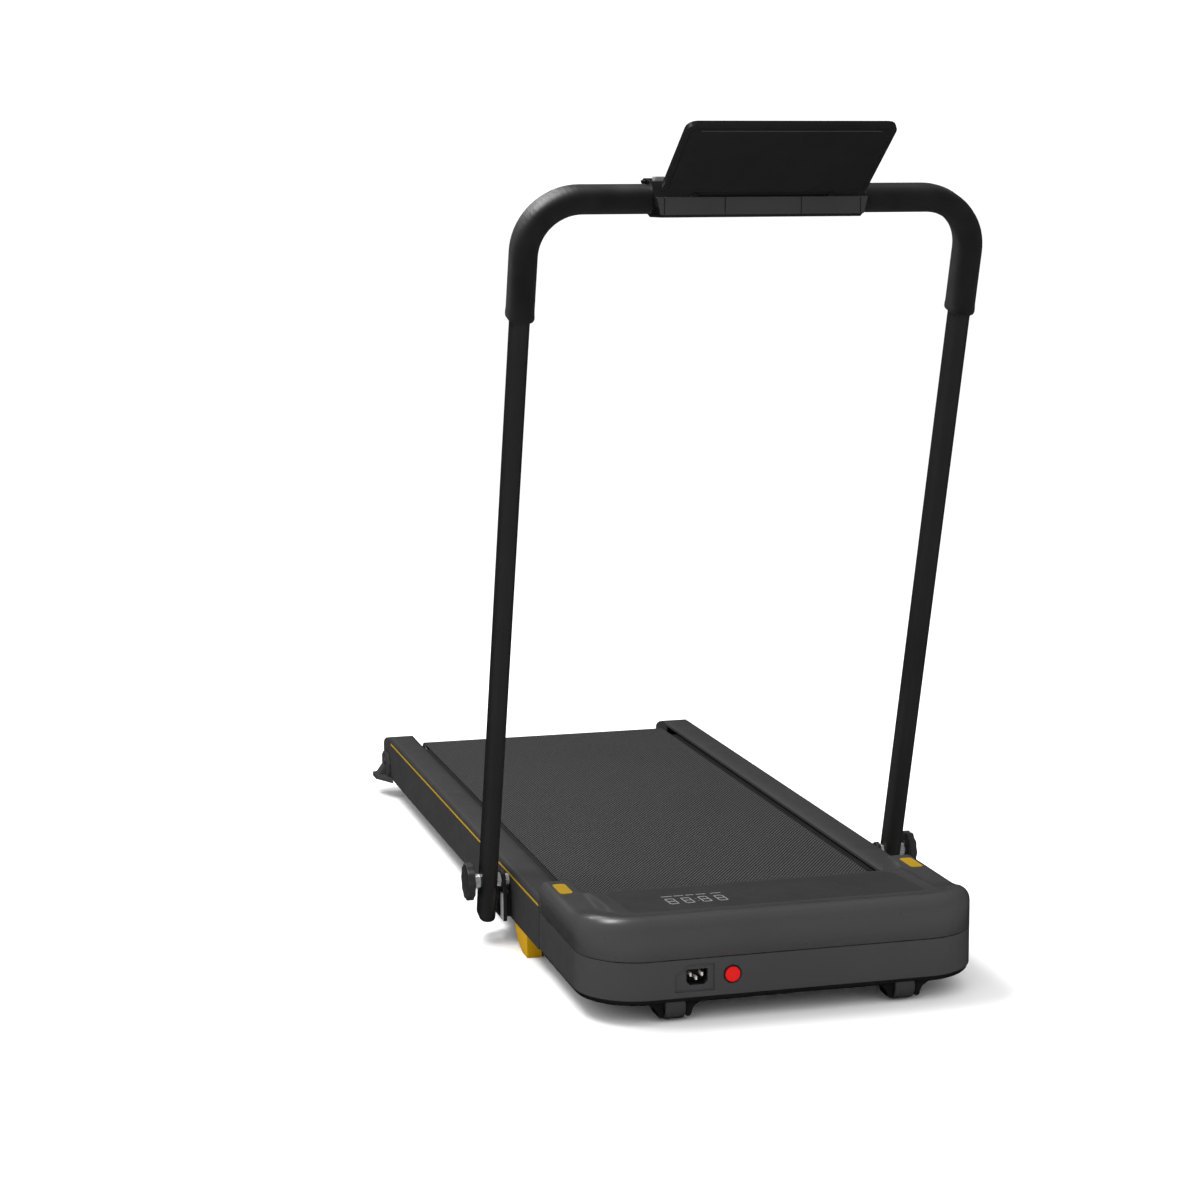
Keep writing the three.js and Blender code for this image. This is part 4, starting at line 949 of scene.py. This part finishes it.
def makeBelt():
    radius = (beltHigh.z - beltLow.z) / 2
    z = (beltHigh.z + beltLow.z) / 2
    ends = (beltLow.y + radius, beltHigh.y - radius)

    def loop(grow):
        front = arcOf(ends[0], z, radius - grow, quarter, 3 * quarter, deck["bandSteps"])
        return front + arcOf(ends[1], z, radius - grow, -quarter, quarter, deck["bandSteps"])

    bm = bmesh.new()
    rims = []
    for grow in (0, deck["beltThick"]):
        points = [bm.verts.new((beltLow.x, y, height)) for y, height in loop(grow)]
        rims.append([bm.edges.new((points[i - 1], points[i])) for i in range(len(points))])
    side = bmesh.ops.bridge_loops(bm, edges=rims[0] + rims[1])["faces"]
    pushFaces(bm, side, (beltHigh.x - beltLow.x, 0, 0), keepFirst=True)
    belt = newPiece(bm, "walkingBelt", "belt", "base", ("running_belt",), sharp=50)
    addBevel(belt, 0.5 * mm, 2, 60)


def makeRoller(name, node, body, outline):
    low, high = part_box(node)
    bm = bmesh.new()
    turnedShape(bm, outline, (0, (low.y + high.y) / 2, (low.z + high.z) / 2), "X", 72)
    newPiece(bm, name, "steel", body, (node,), sharp=40)


def makeRollers():
    low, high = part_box("rear_roller")
    radius, edge = (high.z - low.z) / 2, deck["rollerEdge"]
    bore = 6 * mm + deck["axleClear"]
    makeRoller("rearRoller", "rear_roller", "roller_rear",
               [(bore, low.x), (radius - edge, low.x), (radius, low.x + edge), (radius, high.x - edge),
                (radius - edge, high.x), (bore, high.x)])
    frontLow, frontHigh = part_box("front_roller")
    pulley = (frontHigh.z - frontLow.z) / 2
    makeRoller("frontRoller", "front_roller", "roller_front",
               [(bore, frontLow.x), (pulley, frontLow.x), (pulley, frontLow.x + 10 * mm),
                (15 * mm, frontLow.x + 10 * mm), (15 * mm, low.x), (radius - edge, low.x),
                (radius, low.x + edge), (radius, high.x - edge), (radius - edge, high.x), (bore, high.x)])


makeBelt()
makeRollers()
print("belt and rollers made")


# handrail
foldAt = Vector(jointOf["handrail_fold"]["pos_m"])
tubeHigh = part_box("handrail_tube")[1]
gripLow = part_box("grip_sleeve_left")[0]
rise = {
    "lean": math.radians(15.63),
    "wide": 21 * mm,
    "deep": 38 * mm,
    "x": tubeHigh.x - 10.5 * mm,
    "barUp": 907.4 * mm,
    "down": 48.8 * mm,
    "bend": 65 * mm,
    "bendSteps": 18,
    "gripFrom": 763 * mm,
    "gripThick": (5 * mm, 4 * mm),
    "barEnd": gripLow.x,
}


# a point given across, fore-and-aft and up along the leaning posts
def leaned(x, back, up):
    lean = rise["lean"]
    return (x, foldAt.y + back * math.cos(lean) - up * math.sin(lean),
            foldAt.z + back * math.sin(lean) + up * math.cos(lean))


def stadium(wide, deep, steps=9):
    radius = wide / 2
    straight = deep / 2 - radius
    ahead = arcOf(0, straight, radius, 0, math.pi, steps)
    return ahead + arcOf(0, -straight, radius, math.pi, 2 * math.pi, steps)


# one section of the rail; angle is 0 on a post and a quarter turn on the bar
def railSection(x, up, angle, wide, deep):
    return [leaned(x + u * math.cos(angle), v, up + u * math.sin(angle)) for u, v in stadium(wide, deep)]


def bendPlaces():
    centre, height = rise["x"] - rise["bend"], rise["barUp"] - rise["bend"]
    places = []
    for i in range(rise["bendSteps"] + 1):
        angle = quarter * i / rise["bendSteps"]
        across, up = rise["bend"] * math.cos(angle), rise["bend"] * math.sin(angle)
        places.append((centre + across, height + up, angle))
    return places


def makeTube():
    bm = bmesh.new()
    half = [(rise["x"], -rise["down"], 0)] + bendPlaces()
    places = half + [(-x, up, math.pi - angle) for x, up, angle in reversed(half)]
    stacked(bm, [railSection(x, up, angle, rise["wide"], rise["deep"]) for x, up, angle in places])
    newPiece(bm, "handrailTube", "tube", "handrail", ("handrail_tube",), sharp=50)


# foam sleeve from the lip on the post, round the bend, to the console
def makeSleeve(side, word):
    wide, deep = rise["wide"] + 2 * rise["gripThick"][0], rise["deep"] + 2 * rise["gripThick"][1]
    fit = (rise["wide"] + 0.6 * mm, rise["deep"] + 0.6 * mm)
    start = rise["gripFrom"]
    # mm up from the sleeve's end, and how much wider it is there: the rounded lip
    lip = [(0, -3.0), (0.5, -1.2), (1.5, 0.1), (3.2, 0.9), (5.6, 1.0), (8.0, 0.7), (10.5, 0.25), (14, 0)]
    places = [(rise["x"], start + up * mm, 0, wide + grow * mm, deep + grow * mm) for up, grow in lip]
    places += [(rise["x"], start + up * mm, 0, wide, deep) for up in (30, 50, 70)]
    places += [(x, up, angle, wide, deep) for x, up, angle in bendPlaces()]
    straight = rise["x"] - rise["bend"] - rise["barEnd"]
    places += [(rise["barEnd"] + straight * share, rise["barUp"], quarter, wide, deep)
               for share in (0.75, 0.5, 0.25, 0.06)]
    places.append((rise["barEnd"] + 0.6 * mm, rise["barUp"], quarter, wide - 0.6 * mm, deep - 0.6 * mm))
    places.append((rise["barEnd"], rise["barUp"], quarter, wide - 2 * mm, deep - 2 * mm))
    places += [(*place[:3], *fit) for place in reversed(places)]
    bm = bmesh.new()
    sections = [railSection(x, up, angle, w, d) for x, up, angle, w, d in places]
    if side < 0:
        sections = [[(-x, y, z) for x, y, z in section] for section in sections]
    stacked(bm, sections, capped=False)
    rims = [edge for edge in bm.edges if edge.is_boundary]
    bmesh.ops.bridge_loops(bm, edges=rims)
    sleeve = newPiece(bm, "gripSleeve_" + word, "foam", "handrail", ("grip_sleeve_" + word,), sharp=60)


# moulded end plug under each post
def makePostEnd(side, word):
    bm = bmesh.new()
    rounding, spigotLess, gap = 3.6 * mm, 4 * mm, 0.3 * mm
    spigot = (rise["wide"] - spigotLess, rise["deep"] - spigotLess)
    sections = [(*spigot, -rise["down"] + 12 * mm), (*spigot, -rise["down"] - gap),
                (rise["wide"], rise["deep"], -rise["down"] - gap)]
    for i in range(7):
        angle = quarter * i / 6
        less = 2 * rounding * (1 - math.cos(angle)) * 0.9
        sections.append((rise["wide"] - less, rise["deep"] - less,
                         -rise["down"] - 1.2 * mm - rounding * math.sin(angle)))
    stacked(bm, [[leaned(side * rise["x"] + u, v, up) for u, v in stadium(wide, deep)]
                 for wide, deep, up in sections])
    newPiece(bm, "postEnd_" + word, "rubber", "handrail", ("post_end_" + word,), sharp=45)


makeTube()
for side, word in ((1, "left"), (-1, "right")):
    makeSleeve(side, word)
    makePostEnd(side, word)
print("handrail made")


# hand knobs and their studs
knob = {"lobes": 10, "radius": 23.6 * mm, "wave": 1.0 * mm, "round": 1.4 * mm, "hub": 12 * mm, "steps": 120}


def knobOutline(x, shrink):
    points = []
    for i in range(knob["steps"]):
        angle = 2 * math.pi * i / knob["steps"]
        radius = knob["radius"] + knob["wave"] * math.cos(knob["lobes"] * angle) - shrink
        points.append((x, foldAt.y + radius * math.cos(angle), foldAt.z + radius * math.sin(angle)))
    return points


def makeKnob(side, word):
    low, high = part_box("pivot_knob_" + word)
    near, far = sorted((low.x, high.x), key=abs)
    bm = bmesh.new()
    inside = near + side * 2 * mm
    loops = []
    for i in range(6):
        angle = quarter * i / 5
        loops.append(knobOutline(inside + side * knob["round"] * (1 - math.sin(angle)) * 0.6,
                                 knob["round"] * (1 - math.cos(angle))))
    loops.reverse()
    outside = far - side * 0.3 * mm
    for i in range(6):
        angle = quarter * i / 5
        loops.append(knobOutline(outside - side * knob["round"] * (1 - math.sin(angle)),
                                 knob["round"] * (1 - math.cos(angle))))
    loops.append(knobOutline(outside - side * 0.9 * mm, knob["round"] + 3.4 * mm))
    stacked(bm, loops)
    turnedShape(bm, [(0, 0), (knob["hub"], 0), (knob["hub"], side * 3 * mm), (0, side * 3 * mm)],
                (near, foldAt.y, foldAt.z), "X", 40)
    boss = [(0, side * -2 * mm), (7 * mm, side * -2 * mm), (7 * mm, side * -0.4 * mm), (6 * mm, 0), (0, 0)]
    turnedShape(bm, boss, (far, foldAt.y, foldAt.z), "X", 40)
    newPiece(bm, "pivotKnob_" + word, "knob", "knob_" + word, ("pivot_knob_" + word,), sharp=40)


# across sizes are from the middle of the treadmill
pivot = {
    "plateIn": 257 * mm,
    "plateOut": 262 * mm,
    "arc": 12.5 * mm,
    "spacerIn": 250.3 * mm,
    "spacerOut": 258 * mm,
    "stopIn": 261 * mm,
    "gap": 0.1 * mm,
    "nutOut": 267.3 * mm,
    "nutRadius": 9.5 * mm,
    # thickness of the bright strip beside the plate, a painted edge highlight
    "highlightLinerThick": 0.9 * mm,
    "stopRadius": 5 * mm,
    "stopDown": 45 * mm,
    "stopOut": 284.4 * mm,
}


# bracket beside the post: a plate whose front edge falls away under the nut, its spacer and the stop pin
def makeBracket(side, word):
    y, z = foldAt.y, foldAt.z
    plate = [(y - 18 * mm, 27 * mm), (y + 48 * mm, 27 * mm), (y + 48 * mm, 54 * mm), (y + 24 * mm, 84 * mm)]
    plate += arcOf(y, z, pivot["arc"], 0.7, math.pi + 0.2, 14)
    plate += [(y - 14 * mm, 70 * mm), (y - 17 * mm, 66 * mm), (y - 18 * mm, 62 * mm)]
    bm = bmesh.new()
    prism(bm, [(side * pivot["plateIn"], v, w) for v, w in plate],
          (side * (pivot["plateOut"] - pivot["plateIn"]), 0, 0))
    spacer = sorted((side * pivot["spacerIn"], side * pivot["spacerOut"]))
    blockAt(bm, (spacer[0], y - 10 * mm, 31 * mm), (spacer[1], y + 40 * mm, 62 * mm))
    stop = leaned(0, rise["deep"] / 2 + pivot["stopRadius"] + 0.3 * mm, -pivot["stopDown"])
    radius, near, far = pivot["stopRadius"], side * pivot["stopIn"], side * pivot["stopOut"]
    turnedShape(bm, [(0, near), (radius, near), (radius, far), (0, far)], (0, stop[1], stop[2]), "X", 28)
    bracket = newPiece(bm, "pivotBracket_" + word, "frame", "base", ("pivot_bracket_" + word,))
    addBevel(bracket, 0.8 * mm, 3, 40)
    bm = bmesh.new()
    face = pivot["plateOut"] + pivot["gap"]
    hexagon = circleOf(pivot["nutRadius"], 6, y, z)
    prism(bm, [(side * face, v, w) for v, w in hexagon], (side * (pivot["nutOut"] - face), 0, 0))
    # a thin bright chrome strip beside the plate's edge: a painted highlight standing in for the light on the
    # bracket's second plate
    highlightLiner = sorted((side * face, side * (pivot["plateOut"] + pivot["highlightLinerThick"])))
    blockAt(bm, (highlightLiner[0], y - 18.6 * mm, 29 * mm), (highlightLiner[1], y - 4 * mm, 64 * mm))
    nut = newPiece(bm, "pivotNut_" + word, "chrome", "base")
    addBevel(nut, 0.4 * mm, 2, 30)


for side, word in ((1, "left"), (-1, "right")):
    makeBracket(side, word)
    makeKnob(side, word)
    softened("pivot_stud_" + word, "chrome", 0.5 * mm, 2)
print("knobs made")


# console and tablet plate
frontLow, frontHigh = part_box("console_front")
backLow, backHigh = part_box("console_back")
console = {
    "joint": 47 * mm,
    "groove": 0.9 * mm,
    "panelEnd": 121 * mm,
    "lowWide": 125.5 * mm,
    "highWide": 130.5 * mm,
    "lipHigh": 3.4 * mm,
    "faceHigh": 23.6 * mm,
    "wing": [(118, 0), (134.3, 0), (134.3, 2.6), (128.5, 9), (118, 9)],  # mm across, down from its top
    "wingFrom": 12 * mm,
    "tip": 131.5 * mm,
    "slantFrom": 122.5 * mm,
    "slant": -0.55,
    "plateThick": 3.6 * mm,
    "proud": 0.5 * mm,
}


# lighter panels set in the console's front, with a slanting piece at each end
def makeConsoleFace():
    low = frontLow.z + console["lipHigh"]
    top = frontLow.z + console["faceHigh"]
    y = frontLow.y - console["proud"]
    half = console["groove"] / 2
    edges = [-console["panelEnd"], -console["joint"], console["joint"], console["panelEnd"]]
    spans = [(left + half, left + half, right - half, right - half) for left, right in zip(edges, edges[1:])]
    near, lowEnd, topEnd = console["panelEnd"] + half, console["lowWide"], console["highWide"]
    spans += [(near, near, lowEnd, topEnd), (-lowEnd, -topEnd, -near, -near)]
    bm = bmesh.new()
    for lowLeft, topLeft, lowRight, topRight in spans:
        points = [(lowLeft, y, low), (lowRight, y, low), (topRight, y, top), (topLeft, y, top)]
        prism(bm, points, (0, console["plateThick"], 0))
    face = newPiece(bm, "consoleFace", "console", "handrail")
    addBevel(face, 0.5 * mm, 3, 30)


# wedges that carry the console's top out over the ends of the sleeves
def makeConsoleWings():
    bm = bmesh.new()
    top = backHigh.z - 2.2 * mm
    for side in (1, -1):
        points = [(side * x * mm, backLow.y + console["wingFrom"], top - z * mm) for x, z in console["wing"]]
        prism(bm, points, (0, backHigh.y - 8 * mm - backLow.y - console["wingFrom"], 0))
    wings = newPiece(bm, "consoleWings", "gloss", "handrail")
    addBevel(wings, 0.6 * mm, 2, 30)


tablet = {
    "lean": math.radians(55),
    "thick": 6.5 * mm,
    "padMiddle": 68.5 * mm,
    "padHalf": (120 * mm, 61 * mm),
    "padCorner": 9 * mm,
    "padProud": 0.9 * mm,
    # where the painted highlight strip lies across the pad, near the plate's rounded top
    "highlightRibHalf": 108 * mm,
    "highlightRibUp": 126.5 * mm,
    "highlightRibWide": 1.3 * mm,
}


# raised pad on the underside of the tablet plate, along its rounded top
def makeTabletPad():
    hinge = Vector(jointOf["tablet_tilt"]["pos_m"])
    lean = tablet["lean"]
    outline = roundedOutline(0, tablet["padMiddle"], *tablet["padHalf"], tablet["padCorner"])

    def padPoint(x, up, proud):
        back = -tablet["thick"] / 2 - proud
        return (x, hinge.y + back * math.cos(lean) - up * math.sin(lean),
                hinge.z + back * math.sin(lean) + up * math.cos(lean))

    points = [padPoint(x, up, tablet["padProud"]) for x, up in outline]
    bm = bmesh.new()
    prism(bm, points, (0, 2 * mm * math.cos(lean), 2 * mm * math.sin(lean)))
    pad = newPiece(bm, "tabletPad", "gloss", "tablet_holder")
    addBevel(pad, 0.8 * mm, 3, 30)
    # a thin strip in the lighter console finish near the pad's top edge: a painted highlight along the rim
    bm = bmesh.new()
    highlightRibHalf, highlightRibUp = tablet["highlightRibHalf"], tablet["highlightRibUp"]
    highlightRibTop = highlightRibUp + tablet["highlightRibWide"]
    corners = [(-highlightRibHalf, highlightRibUp), (highlightRibHalf, highlightRibUp), (highlightRibHalf, highlightRibTop), (-highlightRibHalf, highlightRibTop)]
    prism(bm, [padPoint(x, up, tablet["padProud"] + 0.5 * mm) for x, up in corners],
          (0, 1 * mm * math.cos(lean), 1 * mm * math.sin(lean)))
    highlightRib = newPiece(bm, "tabletHighlightRib", "console", "tablet_holder")
    addBevel(highlightRib, 0.3 * mm, 2, 30)


# the console's halves, their lower ends cut back on a slant and their tips shortened
def makeConsoleHalf(nodeName, width):
    bm = mergedCopy(nodeName)
    cuts = ((console["tip"], 0, 0), (console["slantFrom"], frontLow.z, console["slant"]))
    for side in (1, -1):
        for place, low, slant in cuts:
            whole = list(bm.verts) + list(bm.edges) + list(bm.faces)
            bmesh.ops.bisect_plane(bm, geom=whole, dist=1e-6, plane_co=(side * place, 0, low),
                                   plane_no=(side, 0, slant), clear_outer=True)
            bmesh.ops.holes_fill(bm, edges=[edge for edge in bm.edges if edge.is_boundary], sides=0)
    half = newPiece(bm, nodeName + "_piece", "gloss", "handrail", (nodeName,), clean=False)
    addBevel(half, width, 3)


makeConsoleHalf("console_front", 0.9 * mm)
makeConsoleHalf("console_back", 1.2 * mm)
# the key takes the pale finish as a painted highlight: its light tone stands in for the light on its top, not
# its own colour
softened("console_key", "pale", 1.2 * mm, 3)
softened("tablet_plate", "gloss", 1.6 * mm, 4)
makeConsoleFace()
makeConsoleWings()
makeTabletPad()
print("console made")


# the rest keep their solids and take their finishes
for nodeName, node in nodes.items():
    if node.hide_render:
        continue
    node.data.materials.clear()
    node.data.materials.append(finishes[slotOf[nodeName]])

low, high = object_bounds()
print("all pieces made")
